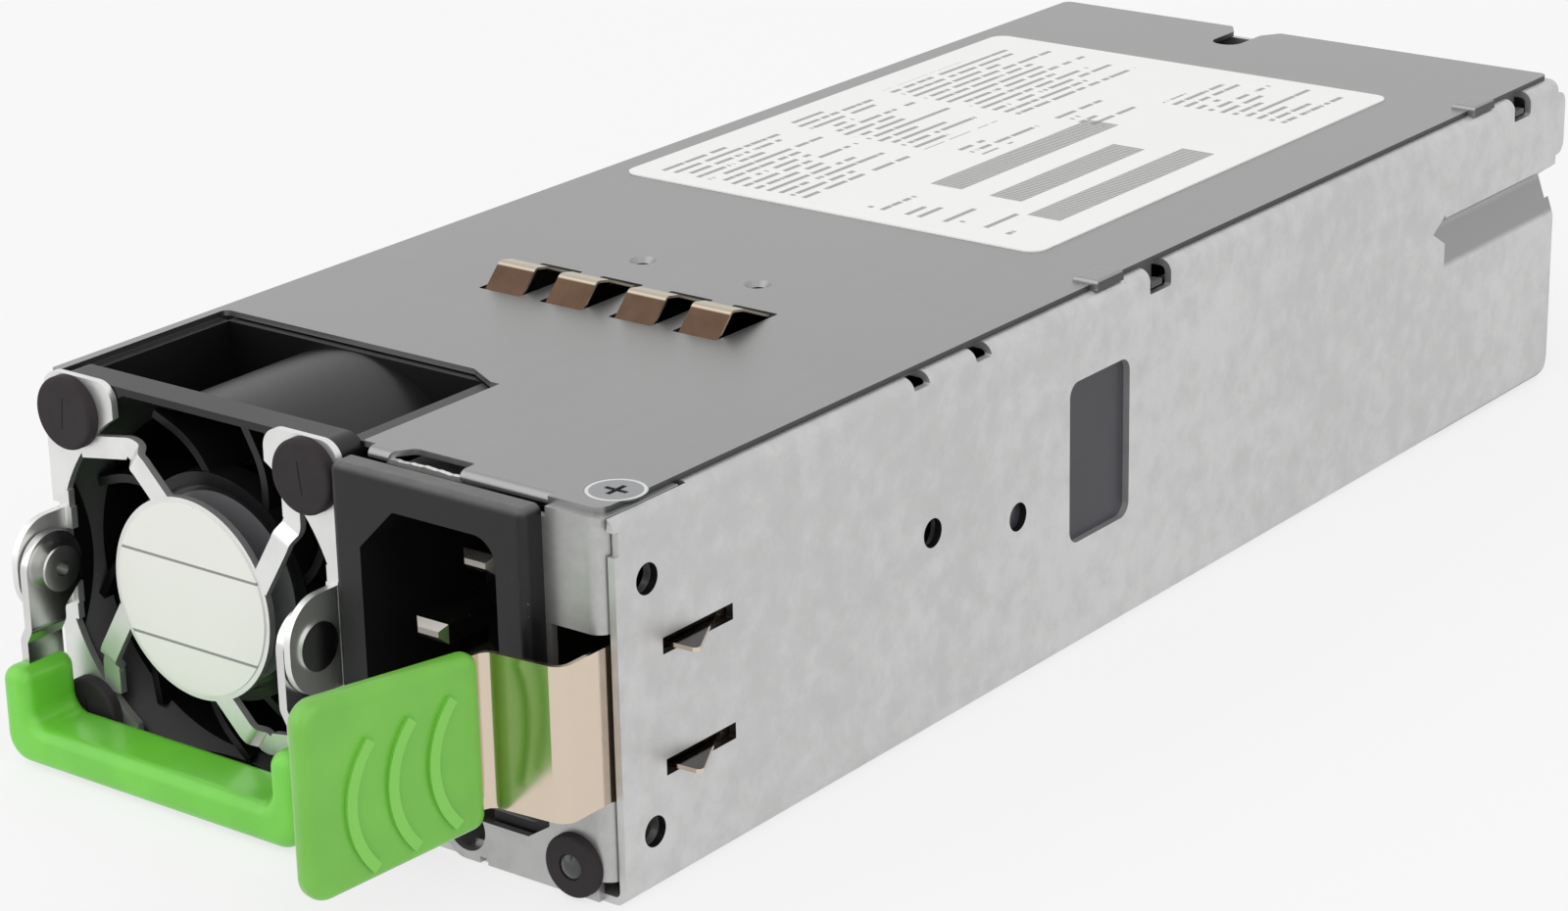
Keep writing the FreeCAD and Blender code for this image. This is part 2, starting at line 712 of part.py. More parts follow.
def front_plate():
    """Stamped plate behind the inlet, with a window for the latch and a flange under the cover."""
    plate_top = flange_top - plate_top_gap
    inlet_bottom = bezel_bottom + 0.6
    points = [
        (plate_left, 0.2),
        (window_left - 1, 0.2),
        (window_left - 1, plate_top),
        (bezel_left + 0.3, plate_top),
        (bezel_left + 0.3, inlet_bottom),
        (plate_left, inlet_bottom),
    ]
    sheet = front_sheet(rounded_outline(points, [2.2, 0, 0, 1.0, 1.0, 0.5]), plate_front, plate_back)
    upper = plate_corner(latch_window_top, flange_top)
    lower = plate_corner(0.2, latch_window_bottom)
    middle = box(window_left - 4, window_left, plate_front, plate_back, 0.2, plate_top)
    foot = box(plate_left + 2, wall_inside - 4, plate_back - 0.4, plate_foot_length, case_sheet, 2 * case_sheet)
    web = box(plate_left + 4.5, wall_inside - 4, plate_front, plate_back, 0.2, 2 * case_sheet)
    seat_left = bezel_right + 0.45
    seat = box(seat_left, wall_inside - 0.1, plate_front + 0.2, plate_back + 10.5,
               flange_top - plate_sheet, flange_top)
    body = fused([sheet, upper, lower, middle, foot, web, seat])
    rim_x, rim_z = inlet_body_rim
    opening = (bezel_left + rim_x - 0.1, bezel_right - rim_x + 0.1, bezel_bottom + rim_z - 0.1,
               bezel_top - rim_z + 0.1)
    hole_x = right - plate_hole_from_right
    y = screw_from_front
    bend_top = case_sheet + bend_radius
    slit = plate_left + 4.1
    cuts = plate_gap() + [
        box(wall_inside - 3, right, plate_back, plate_side_length + 1, 0, bend_top),
        box(opening[0], opening[1], plate_front - 1, plate_back + 1, opening[2], opening[3]),
        rod(plate_hole_radius, (hole_x, plate_front - 1, plate_hole_height),
            (hole_x, plate_back + 1, plate_hole_height)),
        rod(screw_radius, (screw_x, y, flange_top - 3), (screw_x, y, flange_top + 1)),
        Part.makeCone(screw_head_radius + 0.05, screw_radius, countersink, V(screw_x, y, case_height), V(0, 0, -1)),
        rod(grommet_neck_radius, (led_x, plate_front - 1, led_height), (led_x, plate_back + 1, led_height)),
        box(wall_inside - 1.9, right, plate_front - 1, plate_back + 1, 0, 2.4),
        box(slit, slit + 1, plate_front - 1, plate_back + 0.2, 0, 0.9),
        box(window_left - 4, seat_left, plate_front - 1, plate_back, plate_top, case_height),
    ]
    for y, z in side_holes[:2]:
        cuts.append(rod(side_hole_radius, (wall_inside - 2, y, z), (right, y, z)))
    return body.cut(Part.makeCompound(cuts))


def led_grommet():
    """Rubber ring that holds the status light in the front plate."""
    x, z = led_x, led_height
    head = rod(grommet_radius, (x, plate_front - grommet_head, z), (x, plate_front, z))
    head = filleted(head, 0.4, lambda e: e.BoundBox.YMax < plate_front - 0.9 * grommet_head)
    neck = rod(grommet_neck_radius, (x, plate_front - 0.1, z), (x, plate_back + 0.8, z))
    bore = rod(led_radius, (x, plate_front - 3, z), (x, plate_back + 3, z))
    return fused([head, neck]).cut(bore)


def status_light():
    """Clear light body with a domed end, seated in the ring."""
    x, z = led_x, led_height
    front = plate_front - grommet_head
    body = rod(led_radius, (x, front + 0.2, z), (x, plate_back + 2.2, z))
    dome = Part.makeSphere(led_radius * 1.45, V(x, front + 0.2 + led_radius * 1.05, z))
    dome = dome.common(rod(led_radius, (x, front - 1, z), (x, front + 0.3, z)))
    return fused([body, dome])


# ------------------------------------------------------------------ mains inlet
def inlet_housing():
    """Moulded inlet turned on its side: bezel, body, and a socket with two chamfered corners."""
    front = plate_front - bezel_thickness
    bezel = box(bezel_left, bezel_right, front, plate_front, bezel_bottom, bezel_top)
    bezel = filleted(bezel, bezel_round, lambda e: e.BoundBox.YMin < front + 0.01)
    rim_x, rim_z = inlet_body_rim
    body = box(bezel_left + rim_x, bezel_right - rim_x, plate_front - 0.1, plate_front + inlet_body_depth,
               bezel_bottom + rim_z, bezel_top - rim_z)
    skirt_right = bezel_right - 0.5
    skirt_front = plate_back + touch_gap
    skirt = box(skirt_right - skirt_width, skirt_right, skirt_front, skirt_front + skirt_sheet,
                skirt_bottom, bezel_bottom + rim_z + 0.1)
    rim_x, rim_z = socket_rim
    x0, x1, z0, z1 = bezel_left + rim_x, bezel_right - rim_x, bezel_bottom + rim_z, bezel_top - rim_z
    points = [
        (x0, z0 + socket_chamfer),
        (x0 + socket_chamfer, z0),
        (x1, z0),
        (x1, z1),
        (x0 + socket_chamfer, z1),
        (x0, z1 - socket_chamfer),
    ]
    outline = rounded_outline(points, [0.6, 0.6, socket_round, socket_round, 0.6, 0.6])
    socket = front_sheet(outline, front - 1, front + socket_depth)
    pins = Part.makeCompound([pin(*place) for place in pin_places()])
    return fused([bezel, body, skirt]).cut(socket).cut(pins)


def pin_places():
    """X, Z and front end of the live, neutral and earth pins."""
    return [
        (inlet_x + pin_offset, inlet_z + pin_spacing / 2, live_pin_front),
        (inlet_x + pin_offset, inlet_z - pin_spacing / 2, live_pin_front),
        (inlet_x - pin_offset, inlet_z, earth_pin_front),
    ]


def pin(x, z, front):
    """Flat contact pin with a bevelled tip and a solder tail."""
    rear = plate_front + inlet_body_depth
    blade = box(x - pin_width / 2, x + pin_width / 2, front, rear, z - pin_thickness / 2, z + pin_thickness / 2)
    tip = [e for e in blade.Edges if e.BoundBox.YMax < front + 0.01]
    blade = blade.makeChamfer(pin_bevel, tip)
    tail = box(x - 1.2, x + 1.2, rear - 0.1, rear + pin_tail, z - 0.4, z + 0.4)
    return fused([blade, tail])


# ------------------------------------------------------------------ fan
def fan_frame():
    """Square frame: two flanges, side panels, round barrel, stator vanes and the bearing tube."""
    half = fan_half
    y1 = fan_front + fan_flange
    y2 = fan_rear - fan_rear_flange
    front = front_sheet(rectangle(fan_x - half, fan_x + half, fan_z - half, fan_z + half, fan_corner),
                        fan_front, y1)
    low = half - fan_rear_drop
    rear = front_sheet(rectangle(fan_x - half, fan_x + half, fan_z - low, fan_z + low, fan_corner),
                       y2, fan_rear)
    panels = [box(fan_x + s * half - (fan_panel if s > 0 else 0), fan_x + s * half + (0 if s > 0 else fan_panel),
                  y1 - 0.1, y2 + 0.1, fan_z - low + 1, fan_z + low) for s in (1, -1)]
    barrel = rod(fan_barrel_radius, (fan_x, fan_front, fan_z), (fan_x, fan_rear, fan_z))
    barrel = barrel.common(box(fan_x - half, fan_x + half, fan_front, fan_rear, fan_z - low, fan_z + low))
    body = fused([front, rear, barrel] + panels)
    bore = rod(fan_bore_radius, (fan_x, fan_front - 1, fan_z), (fan_x, fan_rear + 1, fan_z))
    mouth = Part.makeCone(fan_mouth_radius, fan_bore_radius, fan_flange,
                          V(fan_x, fan_front, fan_z), V(0, 1, 0))
    clear = half - fan_rim
    mouth = mouth.common(box(fan_x - clear, fan_x + clear, fan_front - 1, y1, fan_z - clear, fan_z + clear))
    body = body.cut(bore).cut(mouth)
    pitch = fan_hole_pitch / 2
    for sx in (-1, 1):
        for sz in (-1, 1):
            x, z = fan_x + sx * pitch, fan_z + sz * pitch
            body = body.cut(rod(fan_mount_hole_radius, (x, fan_front - 1, z), (x, rivet_rear + touch_gap, z)))
    return fused([body, stator_hub()] + stator_vanes())


def stator_hub():
    """Cup that carries the bearing tube, with a shallow recess for a sticker."""
    rear = stator_hub_front + stator_hub_depth
    disc = rod(hub_radius, (fan_x, stator_hub_front, fan_z), (fan_x, rear, fan_z))
    recess = rod(sticker_radius, (fan_x, stator_hub_front - 1, fan_z),
                 (fan_x, stator_hub_front + sticker_recess, fan_z))
    tube = rod(bearing_tube_radius, (fan_x, rear - 0.1, fan_z), (fan_x, rotor_front + rotor_depth * 0.7, fan_z))
    bore = rod(bearing_radius, (fan_x, rear - 1, fan_z), (fan_x, fan_rear, fan_z))
    return fused([disc.cut(recess), tube]).cut(bore)


def stator_vanes():
    """Swept vanes from the hub to the barrel."""
    y0 = stator_hub_front + 0.2
    inner = hub_radius - 0.5
    outer = fan_bore_radius + 0.35
    vanes = []
    for k in range(vane_count):
        start = math.radians(vane_start + k * 360 / vane_count)
        sweep = math.radians(vane_sweep)
        ends = [(inner, start), ((inner + outer) / 2, start + 0.36 * sweep), (outer, start + sweep)]
        points = [(fan_x + r * math.cos(a), fan_z + r * math.sin(a)) for r, a in ends]
        vanes.append(front_sheet(ribbon(points, vane_bend, vane_sheet), y0, y0 + vane_depth))
    return vanes


def blade(tip_radius):
    """One twisted blade, lofted between a root section and a tip section."""
    depth = rotor_depth - 2.4
    sections = []
    for radius, lean in ((hub_radius - 1.0, blade_lean_root), (tip_radius + 1.0, blade_lean_tip)):
        half = depth / 2
        swing = half * math.tan(math.radians(lean)) * 0.62
        bow = swing * 0.22
        thick = blade_thickness / 2
        front = Part.Arc(V(radius, -half, -swing), V(radius, -thick, bow + thick), V(radius, half, swing))
        back = Part.Arc(V(radius, half, swing), V(radius, thick, bow - thick), V(radius, -half, -swing))
        sections.append(Part.Wire([front.toShape(), back.toShape()]))
    shape = Part.makeLoft(sections, True, True)
    shape.translate(V(fan_x, rotor_front + rotor_depth / 2, fan_z))
    return shape


def fan_rotor():
    """Impeller: a cup closed at the rear with twisted blades."""
    tip_radius = fan_bore_radius - blade_tip_gap
    rear = rotor_front + rotor_depth
    cup = rod(hub_radius, (fan_x, rotor_front, fan_z), (fan_x, rear, fan_z))
    inside = rod(hub_radius - rotor_wall, (fan_x, rotor_front - 1, fan_z),
                 (fan_x, rear - rotor_wall, fan_z))
    sweep = rod(tip_radius, (fan_x, rotor_front, fan_z), (fan_x, rear, fan_z))
    ring = sweep.cut(rod(hub_radius - rotor_wall / 2, (fan_x, rotor_front, fan_z), (fan_x, rear, fan_z)))
    one = blade(tip_radius).common(ring)
    blades = []
    for k in range(blade_count):
        copy = one.copy()
        copy.rotate(V(fan_x, 0, fan_z), V(0, 1, 0), k * 360 / blade_count)
        blades.append(copy)
    return fused([cup.cut(inside)] + blades).cut(fan_shaft())


def fan_shaft():
    """Steel shaft pressed into the rotor."""
    front = stator_hub_front + stator_hub_depth
    return rod(shaft_radius, (fan_x, front, fan_z), (fan_x, rotor_front + rotor_depth - 0.4, fan_z))


def fan_bearing():
    """Bearing sleeve in the tube."""
    front = stator_hub_front + stator_hub_depth
    rear = rotor_front + rotor_depth * 0.7
    sleeve = rod(bearing_radius, (fan_x, front, fan_z), (fan_x, rear, fan_z))
    return sleeve.cut(rod(shaft_radius + shaft_clearance, (fan_x, front - 1, fan_z), (fan_x, rear + 1, fan_z)))


def fan_coil():
    """Wound stator core round the bearing tube."""
    front = rotor_front + 1.2
    rear = front + coil_depth
    radius = hub_radius - rotor_wall - coil_gap
    core = rod(radius, (fan_x, front, fan_z), (fan_x, rear, fan_z))
    half = coil_slot_width / 2
    slots = []
    for k in range(coil_slots):
        slot = box(fan_x - half, fan_x + half, front - 1, rear + 1, fan_z + radius - coil_slot_depth,
                   fan_z + radius + 1)
        slot.rotate(V(fan_x, 0, fan_z), V(0, 1, 0), 45 + 360 / coil_slots * k)
        slots.append(slot)
    bore = rod(bearing_tube_radius, (fan_x, front - 1, fan_z), (fan_x, rear + 1, fan_z))
    return core.cut(Part.makeCompound(slots + [bore]))


def fan_rivets():
    """Four rubber push rivets that hold the guard and the fan."""
    rivets = []
    pitch = fan_hole_pitch / 2
    for sx in (-1, 1):
        for sz in (-1, 1):
            x, z = fan_x + sx * pitch, fan_z + sz * pitch
            front = guard_front - rivet_head_height
            head = rod(rivet_head_radius, (x, front, z), (x, guard_front, z))
            head = filleted(head, 0.45, lambda e: e.BoundBox.YMax < front + 0.05)
            shank = rod(rivet_shank_radius, (x, guard_front - 0.1, z), (x, guard_front + rivet_shank_length, z))
            rivets.append(fused([head, shank]))
    return Part.makeCompound(rivets)


# ------------------------------------------------------------------ finger guard
def guard_arm(points):
    """One arm: flat strip that starts in the plate's plane and steps forward to the disc."""
    back = front_sheet(ribbon([(fan_x + u, fan_z + w) for u, w in points[:3]], guard_arm_bend, guard_arm_width),
                       guard_front, guard_back)
    front = front_sheet(ribbon([(fan_x + u, fan_z + w) for u, w in points[1:]], guard_arm_bend, guard_arm_width),
                        disc_front, disc_front + guard_sheet)
    (u0, w0), (u1, w1) = points[1], points[2]
    run = math.hypot(u1 - u0, w1 - w0)
    half = guard_sheet / 2
    path = [(0, guard_front + half), (run * 0.3, guard_front + half), (run * 0.7, disc_front + half),
            (run, disc_front + half)]
    step = top_sheet(ribbon(path, guard_step_bend, guard_sheet), -guard_arm_width / 2, guard_arm_width / 2)
    step.rotate(V(0, 0, 0), V(0, 1, 0), -math.degrees(math.atan2(w1 - w0, u1 - u0)))
    step.translate(V(fan_x + u0, 0, fan_z + w0))
    tail_cut = front_sheet(ribbon([(fan_x + u, fan_z + w) for u, w in points[1:3]], 0, 2 * guard_arm_width),
                           disc_front - 1, guard_back + 1)
    return fused([back.cut(tail_cut), front.cut(tail_cut), step])


def guard_plate():
    """Corner tabs and side strips left round the air opening."""
    half = guard_half_width
    outline = rectangle(fan_x - half, fan_x + half, guard_bottom, guard_top, guard_tab_corner)
    plate = front_sheet(outline, guard_front, guard_back)
    tab_inner = half - guard_tab_width
    gaps = [rod(guard_opening_radius, (fan_x, guard_front - 1, fan_z), (fan_x, guard_back + 1, fan_z))]
    for s in (1, -1):
        z0, z1 = sorted((fan_z + s * half / 2, fan_z + s * half * 1.5))
        gap = rectangle(fan_x - tab_inner, fan_x + tab_inner, z0, z1)
        gaps.append(front_sheet(gap, guard_front - 1, guard_back + 1))
    plate = plate.cut(Part.makeCompound(gaps))
    outer = [e for e in plate.Edges
             if abs(abs(e.CenterOfMass.x - fan_x) - tab_inner) < 0.01
             and abs(e.CenterOfMass.z - fan_z) > half - 1.5 and e.BoundBox.YLength > guard_sheet / 2]
    return plate.makeFillet(guard_tab_corner, outer)


def side_block(side, inner, outer, half_height, front=guard_front):
    """Block through the plate at one side, between two distances from the fan's axis."""
    x0, x1 = sorted((fan_x + side * inner, fan_x + side * outer))
    return box(x0, x1, front, guard_back, pivot_z - half_height, pivot_z + half_height)


def ear_roots():
    """Stretches of the plate that carry the ears."""
    height = ear_half_height + ear_root
    return [side_block(side, ear_face - 1.4, ear_face, height) for side in (1, -1)]


def ear_notches():
    """Clearance in the plate where the bail's pivot discs turn, and outside each ear."""
    inner = ear_face - guard_sheet
    reach = bail_disc_radius - 0.8
    cuts = []
    for side in (1, -1):
        cuts.append(side_block(side, inner - 2, inner, reach, guard_front - guard_bend / 2))
        cuts.append(side_block(side, ear_face, guard_half_width + 1, ear_half_height + touch_gap))
    return cuts


def guard_ear(side):
    """Ear bent forward at one side, with the pivot hole for the handle."""
    half = guard_sheet / 2
    x = side * (ear_face - half)
    front = pivot_y - ear_reach
    low, high = pivot_z - ear_half_height, pivot_z + ear_half_height
    path = [(side * (ear_face - 1.6), guard_front + half), (x, guard_front + half), (x, front - 1)]
    bent = top_sheet(ribbon(path, guard_bend, guard_sheet), low, high)
    bent.translate(V(fan_x, 0, 0))
    outline = rounded_outline([(front, low), (guard_back, low), (guard_back, high), (front, high)],
                              [ear_corner, 0, 0, ear_corner])
    limit = side_sheet(outline, fan_x - fan_size, fan_x + fan_size)
    hole = rod(pivot_radius, (fan_x - fan_size, pivot_y, pivot_z), (fan_x + fan_size, pivot_y, pivot_z))
    return bent.common(limit).cut(hole)


def fan_guard():
    """Stamped guard: tabs under the rivets, cranked arms, centre disc and the handle's ears."""
    arms = [[(u * fan_size, w * fan_size) for u, w in arm] for arm in (arm_upper_left, arm_upper_right)]
    arms += [[(-u, -w) for u, w in arm] for arm in arms]
    disc = rod(disc_radius, (fan_x, disc_front, fan_z), (fan_x, disc_front + guard_sheet, fan_z))
    body = fused([guard_plate(), guard_ear(1), guard_ear(-1), disc] + ear_roots()
                 + [guard_arm(arm) for arm in arms])
    pitch = fan_hole_pitch / 2
    holes = [rod(rivet_shank_radius, (fan_x + sx * pitch, guard_front - 1, fan_z + sz * pitch),
                 (fan_x + sx * pitch, guard_back + 1, fan_z + sz * pitch)) for sx in (-1, 1) for sz in (-1, 1)]
    return body.cut(Part.makeCompound(holes + ear_notches()))


def guard_label():
    """Round label on the guard's disc."""
    radius = disc_radius - disc_label_edge
    return rod(radius, (fan_x, disc_front - label_sheet, fan_z), (fan_x, disc_front, fan_z))


# ------------------------------------------------------------------ handle
def bail_middle():
    """Distance of a bail arm's middle plane from the fan's axis, at the pivot."""
    return ear_face - guard_sheet - ear_gap - bail_sheet / 2


def handle_bail():
    """U of sheet: two arms with rounded ends, joggled outwards below the ears, joined in the grip."""
    upper = bail_middle()
    lower = upper + bail_joggle
    top = pivot_z + bail_disc_radius
    joggle_top = pivot_z - ear_half_height - 0.6
    web = grip_bottom + grip_bar_height / 2
    right_arm = [(upper, top), (upper, joggle_top), (lower, joggle_top - 1.4), (lower, web)]
    path = [(-u, w) for u, w in right_arm] + right_arm[::-1]
    front, rear = pivot_y - bail_disc_radius, pivot_y + bail_disc_radius
    bent = front_sheet(ribbon(path, bail_bend, bail_sheet), front, rear)
    bent.translate(V(fan_x, 0, 0))
    arm_rear = front + bail_arm_width
    shoulder = pivot_z - 0.6 * bail_disc_radius
    outline = rounded_outline(
        [(front, 0), (front, top), (rear, top), (rear, shoulder), (arm_rear, shoulder - 2.4), (arm_rear, 0)],
        [0, bail_disc_radius, 0.97 * bail_disc_radius, 1.5, 1.0, 0])
    limit = side_sheet(outline, fan_x - fan_size, fan_x + fan_size)
    hole = rod(pivot_radius + pivot_clearance, (fan_x - fan_size, pivot_y, pivot_z),
               (fan_x + fan_size, pivot_y, pivot_z))
    return bent.common(limit).cut(hole)


def handle_grip():
    """Moulded U grip over the lower end of the bail."""
    points = [
        (-grip_half_width, grip_bottom),
        (grip_half_width, grip_bottom),
        (grip_half_width, grip_bottom + grip_height),
        (grip_half_width - grip_post_width, grip_bottom + grip_height),
        (grip_half_width - grip_post_width, grip_bottom + grip_bar_height),
        (-grip_half_width + grip_post_width, grip_bottom + grip_bar_height),
        (-grip_half_width + grip_post_width, grip_bottom + grip_height),
        (-grip_half_width, grip_bottom + grip_height),
    ]
    half_radii = [grip_outer_corner, grip_top_corner, grip_top_corner, grip_inner_corner]
    outline = rounded_outline([(fan_x + u, w) for u, w in points], half_radii[:1] + half_radii + half_radii[:0:-1])
    grip = front_sheet(outline, grip_front, grip_rear)
    grip = filleted(grip, grip_edge_round, lambda e: e.BoundBox.YLength < 0.01)
    return grip.cut(handle_bail())


def handle_rivets():
    """Two tubular rivets: flat heads outside the ears, flared ends inside the arms."""
    inner = bail_middle() - bail_sheet / 2 - 0.1
    flare_radius = 0.95 * pivot_head_radius
    rivets = []
    for s in (1, -1):
        def level(distance):
            return (fan_x + s * distance, pivot_y, pivot_z)
        shank = rod(pivot_radius, level(ear_face), level(inner))
        head = rod(pivot_head_radius, level(ear_face), level(ear_face + pivot_head_height))
        flare = Part.makeCone(pivot_radius, flare_radius, 0.8, V(*level(inner)), V(-s, 0, 0))
        rim = rod(flare_radius, level(inner - 0.8), level(inner - 1.1))
        bore = rod(0.62 * pivot_radius, level(inner - 2), level(inner + 1.2))
        rivets.append(fused([shank, head, flare, rim]).cut(bore))
    return Part.makeCompound(rivets)


# ------------------------------------------------------------------ latch
def latch_x():
    """Middle plane of the latch spring where it lies along the right wall."""
    return wall_inside - latch_wall_gap - latch_sheet / 2


def latch_path():
    """Middle line of the latch spring in plan, from its riveted foot to its end in the tab."""
    x = latch_x()
    foot = x - latch_foot_step
    fold = right - latch_fold_from_right
    lean = math.radians(tab_angle)
    tail = 11.0
    return [
        (foot, latch_root + latch_foot_rear),
        (foot, latch_root - latch_foot_front),
        (x, latch_root - latch_foot_front - 6),
        (x, latch_front),
        (fold, latch_front - latch_front_slope),
        (fold - tail * math.sin(lean), latch_front - latch_front_slope - tail * math.cos(lean)),
    ]


def latch_spring():
    """Spring strip with two pointed teeth bent out level, that pass through the wall's slots."""
    strip = top_sheet(ribbon(latch_path(), latch_bend, latch_sheet), latch_bottom, latch_top)
    x = latch_x()
    front = slot_front + 0.75
    rear = slot_front + slot_length - 0.6
    teeth = []
    for z in tooth_heights:
        points = [(x, front), (right + tooth_reach, front + 0.2), (x, rear)]
        teeth.append(top_sheet(rounded_outline(points, [0, 0.5, 0]), z - tooth_sheet / 2, z + tooth_sheet / 2))
    holes = [rod(1.3, (x - 5, latch_root, z), (x + 5, latch_root, z)) for z in rivet_heights()]
    return fused([strip] + teeth).cut(Part.makeCompound(holes))


def rivet_heights():
    """Heights of the two rivets in the latch's foot."""
    middle = (latch_bottom + latch_top) / 2
    return (middle - latch_rivet_pitch / 2, middle + latch_rivet_pitch / 2)


def bracket_face():
    """Face of the latch bracket that the spring's foot lies near."""
    return latch_x() - latch_foot_step + latch_sheet / 2 + latch_running_gap


def latch_bracket():
    """Plate on the inside of the right wall that the latch is riveted to."""
    x = bracket_face()
    y0, y1 = latch_root - bracket_front, latch_root + bracket_rear
    plate = side_sheet(rectangle(y0, y1, latch_bottom - 2, latch_top + 2, 1.0), x, wall_inside)
    holes = [rod(latch_rivet_radius, (x - 1, latch_root, z), (wall_inside + 1, latch_root, z))
             for z in rivet_heights()]
    y, z = side_holes[2]
    holes.append(rod(side_hole_radius + 1, (x - 1, y, z), (wall_inside + 1, y, z)))
    return plate.cut(Part.makeCompound(holes))


def latch_rivets():
    """Two rivets through the latch's foot."""
    x = bracket_face()
    head = x - latch_sheet - 2 * latch_running_gap
    parts = []
    for z in rivet_heights():
        shank = rod(latch_rivet_radius, (head, latch_root, z), (wall_inside, latch_root, z))
        cap = rod(1.9 * latch_rivet_radius, (head - 0.7, latch_root, z), (head, latch_root, z))
        parts.append(fused([shank, filleted(cap, 0.4, lambda e: e.BoundBox.XMax < head - 0.6)]))
    return Part.makeCompound(parts)


def latch_tab():
    """Moulded press tab with three raised ribs, over the spring's front end."""
    thick = tab_thickness
    up, down = tab_flare
    outline = rounded_outline(
        [(0, tab_bottom), (0, tab_top), (-tab_length, tab_top + up), (-tab_length, tab_bottom - down)],
        [tab_root_corner, tab_root_corner, tab_corner, tab_corner])
    body = side_sheet(outline, -thick / 2, thick / 2)
    body = filleted(body, tab_round, lambda e: e.BoundBox.XLength < 0.01)
    along, lower = tab_rib_pitch
    level = (tab_bottom + tab_top) / 2 - tab_rib_drop
    lift = math.radians(tab_rib_angle)
    ribs = []
    for k in (-1, 0, 1):
        centre = V(0, tab_rib_radius - tab_rib_middle - k * along, level - k * lower)
        rims = []
        for radius in (tab_rib_radius + tab_rib_width / 2, tab_rib_radius - tab_rib_width / 2):
            angles = (math.pi - lift, math.pi, math.pi + lift)
            rims.append([centre + V(0, radius * math.cos(a), radius * math.sin(a)) for a in angles])
        outer, inner = rims
        edges = [Part.Arc(*outer).toShape(), Part.makeLine(outer[2], inner[2]),
                 Part.Arc(*inner[::-1]).toShape(), Part.makeLine(inner[0], outer[0])]
        face = Part.Face(Part.Wire(edges))
        face.translate(V(thick / 2 - 0.2, 0, 0))
        ribs.append(face.extrude(V(0.2 + tab_rib_height, 0, 0)))
    body = fused([body] + ribs)
    fold_x, fold_y = latch_path()[4]
    body.rotate(V(0, 0, 0), V(0, 0, 1), -tab_angle)
    lean = math.radians(tab_angle)
    start = 1.4
    body.translate(V(fold_x - start * math.sin(lean), fold_y - start * math.cos(lean), 0))
    return body.cut(latch_spring())


# ------------------------------------------------------------------ contact spring under the cover
def contact_spring():
    """Comb of four curved fingers that rise through the cover's slots."""
    half = spring_sheet / 2
    base_z = flange_top - half
    y0, y1 = finger_slot
    crest = case_height + finger_rise
    path = [(y0 - 4.0, base_z), (y0 + 0.45, base_z), (y0 + 3.3, crest - half), (y0 + 5.2, crest - half - 0.35),
            (y1 - 1.1, base_z + 0.75)]
    fingers = []
    for start in finger_slots_left:
        x = left + start + (finger_slot_width - finger_width) / 2
        fingers.append(side_sheet(ribbon(path, 0.7, spring_sheet), x, x + finger_width))
    first = left + finger_slots_left[0] - 1.5
    last = left + finger_slots_left[-1] + finger_slot_width + 1.5
    return fused([box(first, last, y0 - 6.5, y0 - 0.4, base_z - half, base_z + half)] + fingers)


# ------------------------------------------------------------------ inside and rear
def insulator():
    """Dark insulating sheet inside the right wall, seen through the window."""
    front = latch_root + bracket_rear + insulator_gap
    outline = rectangle(front, bead_start - insulator_gap, 6.0, flange_top - insulator_gap, 1.0)
    return side_sheet(outline, wall_inside - 0.35, wall_inside)


def on_board(across, along):
    """X and Y of a place given as shares of the board's width and length."""
    return board_left_x + across * board_width, board_front + along * (board_rear - board_front)


def board_corners():
    """Places of the board's screws and standoffs."""
    across, along = board_screw_shares
    return [on_board(u, v) for u in across for v in along]


def main_board():
    """Power circuit board on standoffs."""
    z = case_sheet + board_height
    outline = rectangle(board_left_x, board_left_x + board_width, board_front, board_rear, board_round)
    board = top_sheet(outline, z, z + board_sheet)
    holes = [rod(board_screw_radius, (x, y, z - 1), (x, y, z + 4)) for x, y in board_corners()]
    return board.cut(Part.makeCompound(holes))


def standoffs():
    """Four pressed standoffs on the bottom."""
    posts = []
    for x, y in board_corners():
        post = rod(standoff_radius, (x, y, case_sheet), (x, y, case_sheet + board_height))
        posts.append(post.cut(rod(board_screw_radius, (x, y, 0), (x, y, 20))))
    return Part.makeCompound(posts)


def board_screws():
    """Four screws that hold the board."""
    screws = []
    for x, y in board_corners():
        shank = rod(board_screw_radius, (x, y, case_sheet + 0.4), (x, y, board_top))
        radius, height = board_screw_head
        head = rod(radius, (x, y, board_top), (x, y, board_top + height))
        slot = box(x - 1.8, x + 1.8, y - 0.3, y + 0.3, board_top + 0.9, board_top + 3)
        screws.append(fused([shank, head]).cut(slot))
    return Part.makeCompound(screws)


def rear_connector():
    """Moulded power connector on the board's rear edge, with a slot for each blade."""
    x0 = left + connector_left
    y0 = rear_wall + case_sheet - connector_depth + 0.6
    y1 = y0 + connector_depth
    body = box(x0, x0 + connector_width, y0, y1, board_top, board_top + connector_height)
    body = filleted(body, 0.6, lambda e: e.BoundBox.YLength > 1)
    mouth = box(x0 + 1.2, x0 + connector_width - 1.2, y1 - 7.5, y1 + 1, board_top + 1.2,
                board_top + connector_height - 1.2)
    return body.cut(mouth).cut(Part.makeCompound(blade_bars() + signal_bars()))


def blade_bars():
    """Power blades, in pairs across the connector."""
    x0 = left + connector_left + 4.0
    y1 = rear_wall + case_sheet
    z0 = board_top + 2.2
    bars = []
    for k in range(power_blade_count):
        x = x0 + k * power_blade_pitch
        bars.append(box(x, x + power_blade_sheet, y1 - 11, y1 - 0.6, z0, board_top + connector_height - 2.2))
    return bars


